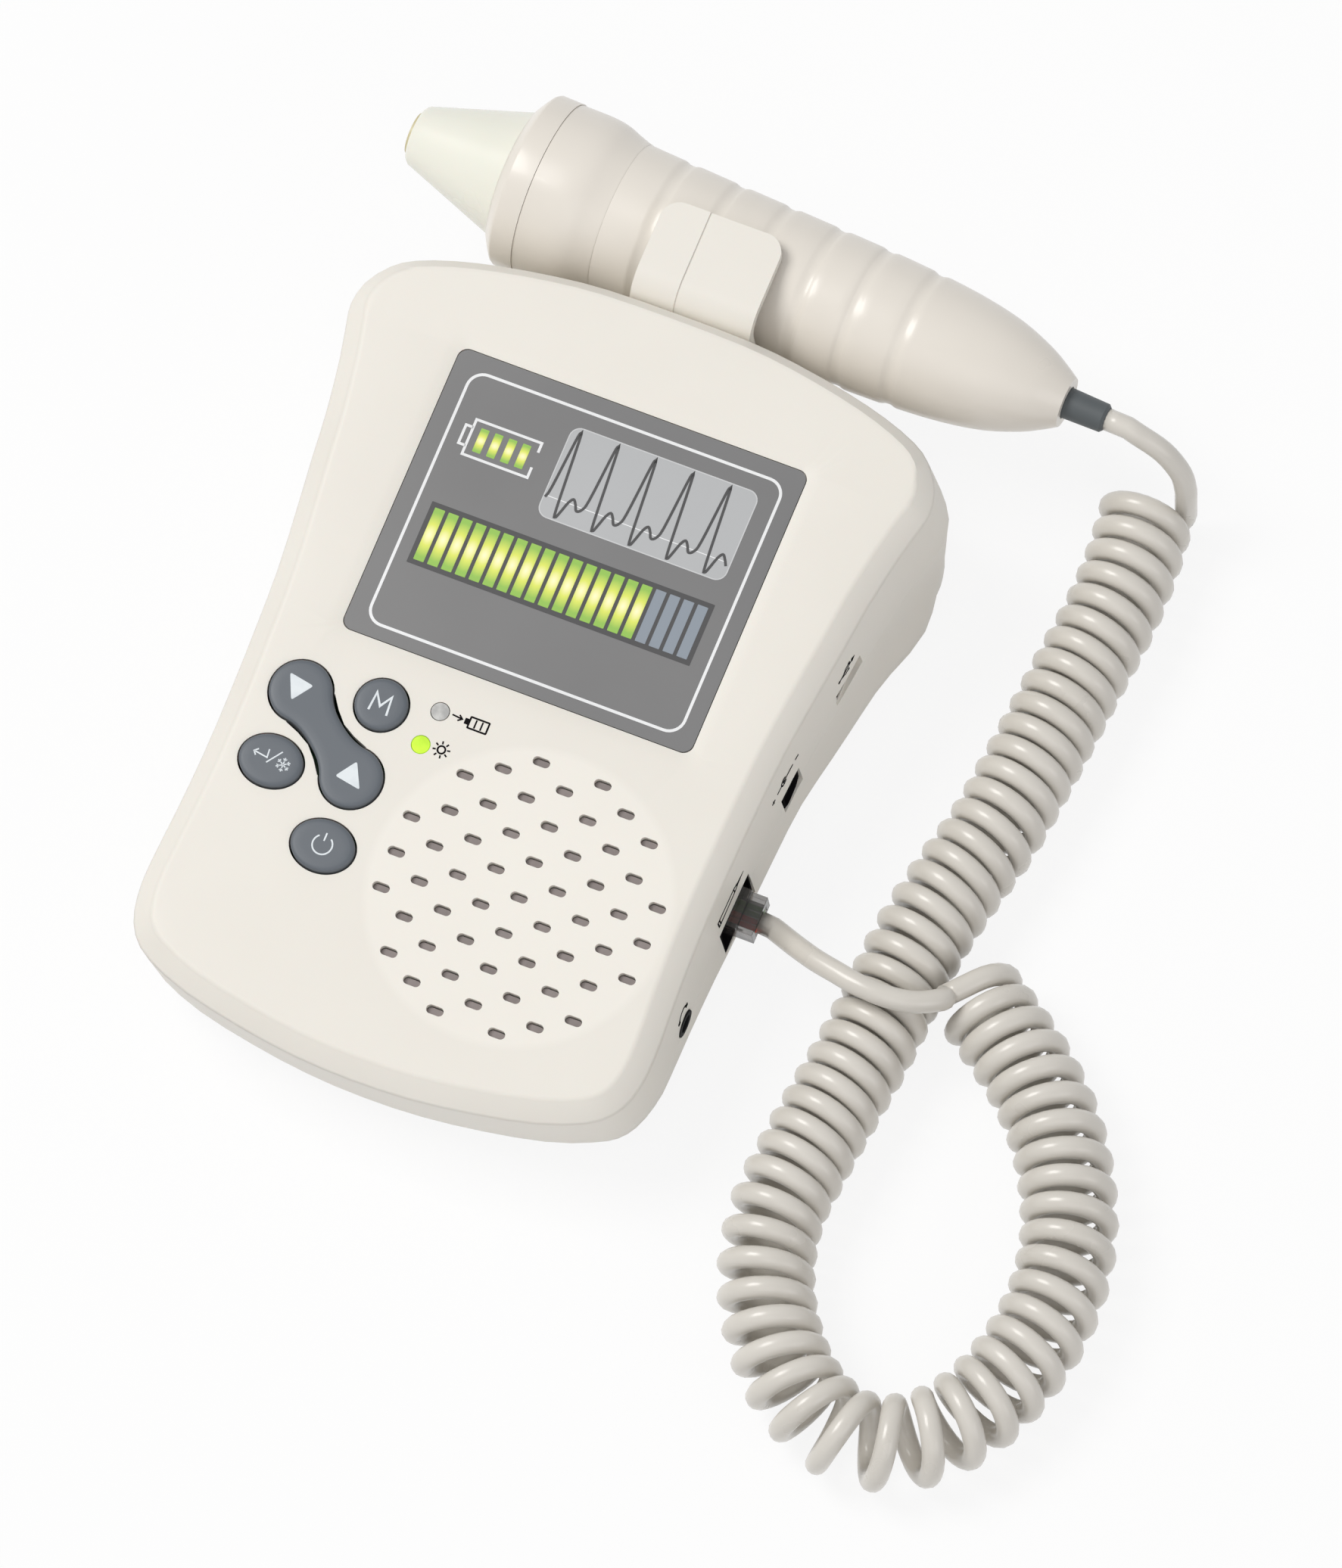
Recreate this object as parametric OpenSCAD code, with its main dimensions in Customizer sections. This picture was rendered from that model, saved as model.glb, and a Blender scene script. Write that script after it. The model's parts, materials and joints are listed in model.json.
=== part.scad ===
// Handheld blood flow meter: a wedge-shaped case with a display, keys and speaker,
// a pencil-grip probe held in a clip on its end wall, and a curly lead between them.

/* [Case] */
// Length of the case along its face
case_l = 155.2; // [147:0.2:164]
// Greatest width of the case, near the screen end
case_w = 114.2; // [109:0.2:118]
// Depth of the upper shell, from the face to the parting line
upper_h = 20; // [19:0.5:22]
// Height of the face above the table at the middle of the case
rest_height = 39; // [38:0.5:42]
// Slope of the face when the case rests on its feet, in degrees
rest_tilt = 7.5; // [6:0.5:8.5]
// Wall thickness of both shells
wall = 2.4; // [2:0.1:2.8]
// Width of the sloping band round the face
bevel_w = 3.7; // [3.2:0.1:4]
// Depth of the sloping band round the face
bevel_h = 3.3; // [2.8:0.1:3.8]
// How far the upper wall flares out on its way down
flare = 0.9; // [0.6:0.1:1.1]
// How far the lower shell swells out below the display
low_swell = 2.3; // [1.6:0.1:2.6]
// Radius of the lower shell's bottom edge
low_edge = 4; // [3:0.25:4.5]
// Height of the feet below the underside
foot_h = 1.3; // [1:0.1:1.6]
// Radius of each foot
foot_r = 5; // [4:0.25:6]

/* [Display] */
// Width of the window
window_w = 68.4; // [64:0.2:72]
// Height of the window
window_h = 57; // [54:0.2:59]
// Distance from the middle of the case up to the middle of the window
window_up = 27.9; // [26:0.1:29]
// Corner radius of the window
window_r = 2; // [1:0.25:3]
// Thickness of the window
window_t = 1; // [0.8:0.1:1.1]
// Width of the sloping lip round the window
lip_w = 2.8; // [2:0.1:3.4]
// Depth of the window below the face
lip_h = 0.6; // [0.3:0.1:0.7]

/* [Keys and lamps] */
// Radius of the round mode key
mode_r = 4.9; // [4.5:0.1:5.2]
// Half length of the two oval keys
oval_a = 6; // [5.5:0.1:6.3]
// Half height of the two oval keys
oval_b = 4.9; // [4.5:0.1:5.2]
// Radius of each end of the rocker key
lobe_r = 5.8; // [5.4:0.1:6.1]
// Half width of the rocker key at its waist
waist_r = 3.4; // [3:0.1:3.8]
// How far the keys stand above the face
key_h = 0.9; // [0.5:0.1:1.3]
// Gap round each key
key_gap = 0.35; // [0.3:0.05:0.45]
// Travel of a key
key_travel = 0.6; // [0.4:0.05:0.65]
// Radius of the two lamps
lamp_r = 1.65; // [1.4:0.05:1.9]

/* [Speaker] */
// Radius of the speaker
speaker_r = 25.5; // [24:0.25:26.5]
// Depth of the speaker behind its rim
speaker_h = 14.5; // [12:0.5:16]
// Length of a sound slot
slot_l = 3.3; // [2.6:0.1:3.8]
// Width of a sound slot
slot_w = 1.7; // [1.3:0.1:2]
// Sideways pitch of the slots
slot_dx = 6; // [5.6:0.05:6.2]
// Half the lengthways pitch of the slots
slot_dy = 3.56; // [3.2:0.02:3.6]

/* [Probe] */
// Length of the probe from its face to the end of its handle
probe_l = 132.2; // [126:0.2:138]
// Radius of the ring at the head
ring_r = 16.8; // [16.2:0.1:17.2]
// Radius of the handle behind the head
grip_r = 14.5; // [13.8:0.1:14.7]
// Radius of the sensing face
face_r = 4; // [3.6:0.1:4.4]
// Wall thickness of the probe's shells
probe_wall = 2; // [1.6:0.1:2.4]
// Depth of the finger grooves
groove_d = 0.45; // [0.2:0.05:0.7]
// Length of the strain relief outside the handle
relief_l = 8; // [7:0.25:10]
// Radius of the strain relief at its free end
relief_r = 2.75; // [2.5:0.05:3]

/* [Clip] */
// Width of the clip
clip_w = 23.6; // [21:0.2:26]
// Thickness of the clip's jaws and back
clip_t = 2.1; // [1.8:0.1:2.3]
// Length of the upper jaw from the back of the clip
jaw_l = 19.6; // [18:0.2:21]
// Travel of the probe out of the clip
probe_travel = 40; // [34:1:50]

/* [Lead] */
// Diameter of the lead
cord_d = 4.2; // [4:0.05:4.3]
// Radius of the curls at the middle of the lead
curl_r = 6.9; // [6.6:0.05:7]
// Number of curls
curls = 59.75; // [56.75:1:59.75]

/* [Hidden] */

// Colours of the plastics
ivory = [0.92, 0.9, 0.86];
slate = [0.36, 0.38, 0.41];
pale_green = [0.87, 0.9, 0.83];
lead_grey = [0.84, 0.83, 0.81];

// Overrun of every cut
over = 0.5;
// Clearance between pieces of one assembly
fit = 0.15;
// Number of sides of exact round shapes and of round shapes inside a hull
$fn = 48;

// Right half of the case's outline, as shares of its half width and half length
outline_shares = [[0, 0.993], [0.245, 0.99], [0.42, 0.977], [0.6, 0.954], [0.743, 0.928],
    [0.861, 0.896], [0.93, 0.861], [0.985, 0.803], [1, 0.745], [0.99, 0.7], [0.962, 0.61],
    [0.932, 0.475], [0.915, 0.36], [0.893, 0.225], [0.872, 0.078], [0.862, -0.068],
    [0.855, -0.232], [0.853, -0.4], [0.859, -0.54], [0.868, -0.66], [0.87, -0.74],
    [0.856, -0.81], [0.82, -0.865], [0.748, -0.908], [0.6, -0.95], [0.4, -0.981],
    [0.2, -1.001], [0, -1.007]];

function mirrored(half) = concat(half, [for (i = [len(half) - 2:-1:1]) [-half[i].x, half[i].y]]);
function wrapped(list, i) = list[(i + len(list)) % len(list)];
function midpoint(p, i) =
    (9 * (p[i] + wrapped(p, i + 1)) - wrapped(p, i - 1) - wrapped(p, i + 2)) / 16;
function refined(p) = [for (i = [0:len(p) - 1]) each [p[i], midpoint(p, i)]];
function unit(v) = v / norm(v);
function outward(p, i) = let (t = unit(wrapped(p, i + 1) - wrapped(p, i - 1))) [-t.y, t.x];
function inset(p, d) = [for (i = [0:len(p) - 1]) p[i] - d * outward(p, i)];
function smooth(t) = let (u = max(0, min(1, t))) u * u * (3 - 2 * u);

// Depth of the crease between the sloping band and the wall
crease_z = bevel_h * 1.08;
case_outline = refined(mirrored([for (s = outline_shares) [s.x * case_w / 2, s.y * case_l / 2]]));
right_edge = [for (p = case_outline) if (p.x > 0) [p.y, p.x]];
function half_width(y) = lookup(y, right_edge);

// Underside of the lower shell: flat on the table under the hump, raised in front of it
hump_start_share = 0.29;
hump_end_share = 0.03;
low_lift = 4.5;
hump_start = hump_start_share * case_l / 2;
hump_end = hump_end_share * case_l / 2;
function table_z(y) = -(rest_height + y * sin(rest_tilt)) / cos(rest_tilt);
function lift(y) = y > hump_end ? low_lift * (1 - smooth((y - hump_end) / (hump_start - hump_end)))
    : low_lift * (y + case_l / 2) / (hump_end + case_l / 2);
function under_z(y) = table_z(y) + foot_h / cos(rest_tilt) + lift(y);

// Wall along the case, as shares of its half length and of the flare, the lean and the swell
flare_shares = [[-1, -1.8], [-0.9, -1.4], [-0.8, -0.8], [-0.7, -0.1], [-0.5, 0.4], [-0.3, 0.9],
    [0, 0.95], [0.45, 1], [0.7, 1.2], [0.8, 1.6], [0.9, 1.2], [0.97, 0.3], [1, 0.2]];
swell_shares = [[-1, -0.9], [-0.9, -0.8], [-0.8, -0.45], [-0.7, -0.25], [-0.45, 0], [-0.3, 0.1],
    [-0.15, 0.15], [0, 0.15], [0.15, 0.15], [0.26, 0.15], [0.4, 0.3], [0.48, 0.65], [0.53, 0.95],
    [0.59, 1.1], [0.64, 0.85], [0.69, 0], [0.75, -0.6], [0.8, -0.9], [0.87, -0.9], [0.96, -0.3], [1, 0]];
bevel_shares = [[-1, 1], [0.7, 1], [0.86, 0.75], [1, 0.65]];
function flat_ring(d, z) = [for (i = [0:len(case_outline) - 1]) let (p = case_outline[i],
    q = p - d * lookup(p.y * 2 / case_l, bevel_shares) * outward(case_outline, i)) [q.x, q.y, z]];
function wall_ring(d, z) = [for (i = [0:len(case_outline) - 1]) let (p = case_outline[i],
    share = (-z - crease_z) / (upper_h - crease_z) * lookup(p.y * 2 / case_l, flare_shares),
    q = p + (flare * share - d) * outward(case_outline, i)) [q.x, q.y, z]];
// Ring of the lower shell: share of the way down to the underside, of the swell and of the edge
function low_ring(d, step, rise) = [for (i = [0:len(case_outline) - 1]) let (p = case_outline[i],
    y = p.y * 2 / case_l,
    out = flare * lookup(y, flare_shares) + low_swell * lookup(y, swell_shares) * step[1]
        - low_edge * step[2] - d,
    q = p + out * outward(case_outline, i))
    [q.x, q.y, -upper_h + step[0] * (under_z(q.y) + rise + upper_h)]];

// Closed solid through rings of one length, from the top down, that mirror left to right
module loft(rings) {
    n = len(rings[0]);
    last = len(rings) - 1;
    cap = concat([[0, 1, n - 1]],
        [for (i = [1:n / 2 - 2]) each [[i, i + 1, n - i], [i + 1, n - i - 1, n - i]]],
        [[n / 2 - 1, n / 2, n / 2 + 1]]);
    sides = [for (k = [0:last - 1], i = [0:n - 1]) let (a = k * n + i, b = k * n + (i + 1) % n)
        each [[b, a, a + n], [b, a + n, b + n]]];
    floor_cap = [for (f = cap) [f[0] + last * n, f[2] + last * n, f[1] + last * n]];
    polyhedron([for (r = rings) each r], concat(cap, sides, floor_cap));
}

// Places of pieces on the face, from the middle of the case
mode_at = [-21.3, -12];
enter_at = [-35.9, -28.9];
power_at = [-20.9, -40.3];
rocker_ends = [[-36, -14.8], [-21.1, -26.6]];
charge_at = [-10.9, -9.3];
lamp_at = [-11.8, -16.3];
speaker_at = [15.9, -36.5];
rocker_at = (rocker_ends[0] + rocker_ends[1]) / 2;
rocker_span = norm(rocker_ends[1] - rocker_ends[0]) / 2;
rocker_turn = atan2(rocker_ends[1].y - rocker_ends[0].y, rocker_ends[1].x - rocker_ends[0].x);

// Width of the ledge that carries the window
ledge_w = 1.6;

// Heights inside the case, below the face
board_top = -13.5;
board_t = 1.6;
board_low = board_top - board_t;
board_inset = 6.5;
switch_h = 3.5;
switch_w = 6;
plunger_r = 1.7;
plunger_h = 0.6;
flange_t = 1;
flange_w = 0.6;
stem_r = 2;
stem_low = board_top + switch_h + key_travel + fit;
flange_top = -wall - fit;

// Posts that the case screws hold together
post_r = 4.2;
stub_r = 2.5;
post_x_shares = [0.8, 0.62];
post_y_shares = [0.58, -0.83];
posts = [for (k = [0, 1], side = [-1, 1])
    [side * post_x_shares[k] * case_w / 2, post_y_shares[k] * case_l / 2]];
screw_r = 1.35;
screw_head_r = 2.7;
screw_head_h = 1.8;
screw_seat = 4;
screw_bite = 9;
function seat_z(p) = under_z(p.y) + screw_seat;

// Speaker parts
rim_t = 2.2;
rim_top = -wall - fit;
rim_low = rim_top - rim_t;
magnet_r = 14;
magnet_h = 5;
speaker_post_r = 1.9;
speaker_post_ring = speaker_r + speaker_post_r + fit;
speaker_posts = [for (a = [90, 210, 330])
    speaker_at + speaker_post_ring * [cos(a), sin(a)]];
slot_reach = 26.8;
slot_rows = 7;

// Openings in the side wall: place along the case, depth below the face, width, height
usb_at = [26.9, -16.3];
usb_size = [7.4, 2.2];
charger_at = [4.7, -19.3];
charger_size = [6.6, 6];
socket_at = [-19.8, -22.1];
plug_rise = 2.2;
socket_size = [12.4, 10.4];
jack_at = [-43.2, -18.2];
jack_r = 2.65;
jack_bore = 1.75;
jack_depth = 14;
jack_case = 6.2;
port_gap = 0.25;
port_dish = 0.5;

// Probe axis: from the sensing face at the left towards the lead at the right
probe_z = -18;
probe_turn = -2.5;
clip_x = 1.6;
clip_seat = case_l / 2 - wall / 4;
probe_gap = 0.3;
face_to_clip = 64.1;

// Outside of the probe: places along its length as shares, radii as shares of the grip's radius
cone_l = 22.2;
ring_l = 5.6;
cone_tip_r = 5.8;
cone_root_r = 12.8;
lens_l = 1.5;
ring_round_share = 0.25;
handle_start = cone_l + ring_l;
handle_l = probe_l - handle_start;
handle_shares = [[0, 1.145], [0.055, 1.15], [0.087, 1.125], [0.115, 1.06], [0.138, 1.014],
    [0.158, 1], [0.33, 0.968], [0.5, 0.945], [0.62, 0.925], [0.73, 0.885], [0.81, 0.825],
    [0.88, 0.725], [0.94, 0.57], [0.975, 0.44], [1, 0.33]];
groove_shares = [0.222, 0.32, 0.418, 0.516, 0.609, 0.707];
groove_len = 2.2;
function handle_r(s) = grip_r * lookup(s, handle_shares);
groove_half = groove_len / handle_l / 2;
function groove_cut(s) = groove_d * max([for (g = groove_shares)
    max(0, 1 - abs(s - g) / groove_half)]);
groove_steps = [for (g = groove_shares, k = [-1, 0, 1]) g + k * groove_half];
handle_steps = concat([for (h = handle_shares) if (h[0] < groove_steps[0]) h[0]], groove_steps,
    [for (h = handle_shares) if (h[0] > groove_steps[len(groove_steps) - 1]) h[0]]);
handle_profile = [for (s = handle_steps) [handle_r(s) - groove_cut(s), s * handle_l]];

// The handle lies in the clip with a small gap at its thickest place there
held_r = handle_r((face_to_clip - clip_w / 2 - handle_start) / handle_l);
probe_mid_y = clip_seat + clip_t + held_r + probe_gap;
probe_tip = [clip_x - face_to_clip * cos(probe_turn), probe_mid_y - face_to_clip * sin(probe_turn)];
jaw_top = probe_z + held_r + probe_gap + clip_t;
jaw_low = probe_z - held_r - probe_gap - clip_t;

relief_root_r = 2.95;
relief_inside = 5;
relief_collar = 1.2;

// The finished object's box decides where its origin lies
reach_left = probe_tip.x + face_r * sin(probe_turn);
reach_right = probe_tip.x + (probe_l + relief_l) * cos(probe_turn) - relief_r * sin(probe_turn);
ring_far = [probe_tip.x, probe_tip.y] + (cone_l + ring_round_share * ring_l)
    * [cos(probe_turn), sin(probe_turn)];
reach_far = ring_far.y * cos(rest_tilt) - probe_z * sin(rest_tilt)
    + ring_r * sqrt(pow(cos(rest_tilt) * cos(probe_turn), 2) + pow(sin(rest_tilt), 2));
reach_near = min([for (p = case_outline) p.y]) * cos(rest_tilt) + crease_z * sin(rest_tilt);
shift = [-(reach_left + reach_right) / 2, -(reach_far + reach_near) / 2, rest_height];
function placed(p) = shift + [p.x, p.y * cos(rest_tilt) - p.z * sin(rest_tilt),
    p.y * sin(rest_tilt) + p.z * cos(rest_tilt)];

module in_case() {
    translate(shift) rotate([rest_tilt, 0, 0]) children();
}
module along_probe() {
    in_case() translate([probe_tip.x, probe_tip.y, probe_z]) rotate([0, 0, probe_turn])
        rotate([0, 90, 0]) children();
}
// Places a shape drawn upwards so that it points out through the right wall
module at_side(at, x) {
    translate([x, at[0], at[1]]) rotate([0, 90, 0]) children();
}

module rounded(w, h, r) {
    square([w - 2 * r, h], center = true);
    square([w, h - 2 * r], center = true);
    for (x = [-1, 1], y = [-1, 1]) translate([x * (w / 2 - r), y * (h / 2 - r)]) circle(r);
}
module slab(w, h, r, top, t) {
    translate([0, 0, top - t]) linear_extrude(t) rounded(w, h, r);
}
module ring(outer, inner, h) {
    difference() {
        cylinder(r = outer, h = h);
        translate([0, 0, -over]) cylinder(r = inner, h = h + 2 * over);
    }
}

// The rocker key seen from the face: two round ends and a waist between them
neck_share = 0.62;
module rocker_plan(grow) {
    neck = rocker_span * neck_share;
    for (s = [-1, 1]) translate([s * rocker_span, 0]) circle(lobe_r + grow);
    edge = [[-neck, lobe_r * 0.82], [-neck / 2, waist_r * 1.14], [0, waist_r],
        [neck / 2, waist_r * 1.14], [neck, lobe_r * 0.82]];
    polygon(concat([for (p = edge) p + [0, grow]],
        [for (i = [len(edge) - 1:-1:0]) [edge[i].x, -edge[i].y - grow]]));
}
module at_rocker() {
    translate([rocker_at.x, rocker_at.y, 0]) rotate([0, 0, rocker_turn]) children();
}
module oval_plan(grow) {
    scale([(oval_a + grow) / (oval_b + grow), 1]) circle(oval_b + grow);
}

slot_places = [for (i = [-slot_rows:slot_rows], j = [-slot_rows:slot_rows])
    let (p = [i * slot_dx, j * slot_dy])
    if ((i + j) % 2 == 0 && norm(p) < slot_reach) p];
module slot_plan() {
    square([slot_l - slot_w, slot_w], center = true);
    for (s = [-1, 1]) translate([s * (slot_l - slot_w) / 2, 0]) circle(slot_w / 2);
}

module clip_pocket() {
    pocket_low = jaw_low - fit;
    translate([clip_x - clip_w / 2 - fit, clip_seat, pocket_low])
        cube([clip_w + 2 * fit, wall * 2, -pocket_low]);
}
module port(at, size) {
    depth = wall * 2 + flare;
    x = half_width(at[0]) - wall - board_inset;
    translate([x, at[0] - size[0] / 2, at[1] - size[1] / 2])
        cube([board_inset + depth + over, size[0], size[1]]);
}
module port_dish(at, size) {
    dish = [size[0] + 4 * port_dish, size[1] + 3 * port_dish];
    translate([half_width(at[0]) + flare - 2 * port_dish, at[0] - dish[0] / 2,
        at[1] - dish[1] / 2]) cube([wall, dish[0], dish[1]]);
}
module side_openings() {
    port(usb_at, usb_size + 2 * [port_gap, port_gap]);
    port_dish(usb_at, usb_size);
    port(charger_at, charger_size + 2 * [port_gap, port_gap]);
    port(socket_at, socket_size + 2 * [port_gap, port_gap]);
    at_side(jack_at, half_width(jack_at[0]) - wall - board_inset)
        cylinder(r = jack_r + fit, h = board_inset + wall * 3);
}

module upper_shell() color(ivory) in_case() difference() {
    union() {
        difference() {
            loft([flat_ring(bevel_w + bevel_w / 5, 0), flat_ring(bevel_w - bevel_w / 9, -bevel_h / 18),
                flat_ring(bevel_w / 9, -bevel_h * 8 / 9), flat_ring(0, -crease_z),
                wall_ring(0, -upper_h)]);
            loft([flat_ring(bevel_w + wall * 1.1, -wall), wall_ring(wall, -crease_z - wall * 0.4),
                wall_ring(wall, -upper_h - over)]);
        }
        for (p = posts) translate([p.x, p.y, board_top]) cylinder(r = post_r, h = -board_top - wall / 2);
        for (p = posts) translate([p.x, p.y, -upper_h]) cylinder(r = stub_r, h = upper_h - wall);
        for (p = speaker_posts) translate([p.x, p.y, rim_low + fit])
            cylinder(r = speaker_post_r, h = -rim_low - fit - wall / 2);
    }
    for (p = posts) translate([p.x, p.y, -upper_h - over])
        cylinder(r = screw_r + fit / 3, h = upper_h - screw_bite + 2 * over);
    for (p = speaker_posts) translate([p.x, p.y, rim_low - over])
        cylinder(r = speaker_post_r / 2, h = -rim_low - wall + over);
    translate([0, window_up, 0]) {
        hull() {
            slab(window_w + 2 * lip_w, window_h + 2 * lip_w, window_r + lip_w / 2, over / 4, over / 4);
            slab(window_w, window_h, window_r, -lip_h, over / 10);
        }
        slab(window_w + 2 * fit, window_h + 2 * fit, window_r, 0, lip_h + window_t);
        slab(window_w - 2 * ledge_w, window_h - 2 * ledge_w, window_r / 2, 0, wall + over);
    }
    translate([mode_at.x, mode_at.y, -wall - over]) cylinder(r = mode_r + key_gap, h = wall + 2 * over);
    for (p = [enter_at, power_at]) translate([p.x, p.y, -wall - over])
        linear_extrude(wall + 2 * over) oval_plan(key_gap);
    at_rocker() translate([0, 0, -wall - over]) linear_extrude(wall + 2 * over) rocker_plan(key_gap);
    for (p = [charge_at, lamp_at]) translate([p.x, p.y, -wall - over])
        cylinder(r = lamp_r + fit, h = wall + 2 * over);
    translate([speaker_at.x, speaker_at.y, -wall - over]) linear_extrude(wall + 2 * over)
        for (p = slot_places) translate(p) slot_plan();
    side_openings();
    clip_pocket();
}

// Rings of the lower shell: shares of the way down, of the swell and of the edge's radius
low_ring_shares = [[0, 0, 0], [0.3, 0.4, 0], [0.55, 0.8, 0], [0.8, 1, 0.03], [0.93, 0.95, 0.33], [1, 0.7, 1]];
cells_at = [50.4, 65];
cell_r = 7.1;
cell_l = 50;
bay_w = 68;
bay_l = 24;
bay_mid = 59.4;
bay_side = 5.5;
cover_t = 1.5;
cover_gap = 0.3;
cover_screw_x = bay_w / 2 - bay_side / 2;
cover_boss_r = 2.4;
cover_boss_l = 6;
clip_screw_x = 7;
clip_screw_z = -25.5;
boss_r = 3.4;
boss_l = 6;

module low_solid(grow) {
    loft([for (s = low_ring_shares) low_ring(grow, s, grow)]);
}
// Puts a shape drawn upwards from the table side on the flat of the underside
module on_underside() {
    in_case() translate([0, bay_mid, under_z(bay_mid)]) rotate([-rest_tilt, 0, 0]) children();
}
module bay_box(gap, low, h) {
    translate([-bay_w / 2 - gap, -bay_l / 2 - gap, low]) cube([bay_w + 2 * gap, bay_l + 2 * gap, h]);
}
module cover_screw_places() {
    for (s = [-1, 1]) translate([s * cover_screw_x, 0, 0]) children();
}
// Puts a shape drawn upwards at each clip screw, pointing away from the case
module clip_screw_places(y) {
    for (s = [-1, 1]) translate([clip_x + s * clip_screw_x, y, clip_screw_z])
        rotate([-90, 0, 0]) children();
}
module foot_places() {
    for (k = [0, 1], side = [-1, 1])
        translate(placed([side * foot_x_shares[k] * case_w / 2, foot_y_shares[k] * case_l / 2, 0])
            - [0, 0, placed([0, foot_y_shares[k] * case_l / 2, 0]).z]) children();
}
foot_x_shares = [0.72, 0.66];
foot_y_shares = [0.77, -0.62];
foot_t = 3.2;

module lower_shell() color(ivory) difference() {
    union() {
        in_case() {
            difference() {
                low_solid(0);
                loft([for (s = low_ring_shares)
                    low_ring(wall, s[0] > 0 ? s : [-over / upper_h, 0, 0], wall)]);
            }
            for (p = posts) translate([p.x, p.y, under_z(p.y) + wall / 2])
                cylinder(r = post_r, h = board_low - fit - under_z(p.y) - wall / 2);
            clip_screw_places(clip_seat - boss_l) cylinder(r = boss_r, h = boss_l - wall / 3);
        }
        on_underside() cover_screw_places() translate([0, 0, cover_t + fit])
            cylinder(r = cover_boss_r, h = cover_boss_l);
    }
    in_case() {
        for (p = posts) translate([p.x, p.y, -upper_h - fit])
            cylinder(r = stub_r + fit, h = upper_h);
        for (p = posts) translate([p.x, p.y, table_z(p.y)])
            cylinder(r = screw_r + fit, h = -table_z(p.y));
        for (p = posts) translate([p.x, p.y, table_z(p.y)])
            cylinder(r = screw_head_r + fit, h = seat_z(p) - table_z(p.y));
        clip_screw_places(clip_seat - boss_l - over) cylinder(r = screw_r - fit, h = boss_l + 2 * wall);
        side_openings();
        clip_pocket();
    }
    foot_places() translate([0, 0, -over]) cylinder(r = foot_r, h = foot_t + over);
    on_underside() {
        bay_box(cover_gap, -over, over + cover_t + fit);
        translate([-bay_w / 2 + bay_side, -bay_l / 2 + ledge_w, -over])
            cube([bay_w - 2 * bay_side, bay_l - 2 * ledge_w, wall + 2 * over]);
        cover_screw_places() cylinder(r = screw_r - fit, h = cover_t + cover_boss_l - over);
    }
}

module battery_cover() color(ivory) on_underside() difference() {
    bay_box(0, 0, cover_t);
    cover_screw_places() translate([0, 0, -over]) cylinder(r = screw_r + fit, h = cover_t + 2 * over);
    cover_screw_places() translate([0, 0, -over]) cylinder(r = screw_head_r, h = over + cover_t * 0.6);
}
module cover_screws() color([0.75, 0.76, 0.78]) on_underside() cover_screw_places() {
    translate([0, 0, fit]) cylinder(r = screw_head_r - fit, h = cover_t * 0.6 - fit);
    translate([0, 0, cover_t * 0.6]) cylinder(r = screw_r - fit * 4 / 3, h = cover_boss_l - cover_t);
}

module feet() color([0.2, 0.2, 0.21]) intersection() {
    foot_places() cylinder(r = foot_r - fit / 3, h = foot_t);
    translate([0, shift.y, 0]) cube([case_w, 2 * case_l, 4 * foot_t], center = true);
}

module display_window() color([0.42, 0.42, 0.43]) in_case() translate([0, window_up, 0])
    slab(window_w, window_h, window_r, -lip_h, window_t);

panel_w = window_w - 2 * ledge_w + lip_w / 2;
panel_h = window_h - 2 * ledge_w + lip_w / 2;
panel_t = 1.6;
frame_wall = 2;
frame_low = -8;
leg_r = 2;
module display_panel() color([0.5, 0.52, 0.52]) in_case() translate([0, window_up, 0])
    slab(panel_w, panel_h, window_r / 2, -wall - fit - fit, panel_t);
module display_frame() color([0.75, 0.76, 0.78]) in_case() translate([0, window_up, 0]) {
    top = -wall - fit;
    difference() {
        slab(panel_w + 2 * frame_wall, panel_h + 2 * frame_wall, window_r, top, top - frame_low);
        slab(panel_w + 2 * fit, panel_h + 2 * fit, window_r / 2, 0, -top + fit + panel_t);
    }
    for (x = [-1, 1], y = [-1, 1]) translate([x * panel_w / 2, y * panel_h / 2, board_top])
        cylinder(r = leg_r, h = frame_low - board_top);
}

module main_board() color([0.1, 0.38, 0.2]) in_case() difference() {
    translate([0, 0, board_low]) linear_extrude(board_t) polygon(inset(case_outline, board_inset));
    translate([speaker_at.x, speaker_at.y, board_low - over])
        cylinder(r = speaker_r - wall, h = board_t + 2 * over);
    for (p = posts) translate([p.x, p.y, board_low - over])
        cylinder(r = stub_r + fit, h = board_t + 2 * over);
}

switch_places = [mode_at, enter_at, power_at, rocker_ends[0], rocker_ends[1]];
module key_switches() color([0.2, 0.2, 0.2]) in_case() for (p = switch_places)
    translate([p.x, p.y, board_top]) {
        translate([-switch_w / 2, -switch_w / 2, 0]) cube([switch_w, switch_w, switch_h - plunger_h]);
        cylinder(r = plunger_r, h = switch_h);
    }

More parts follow.
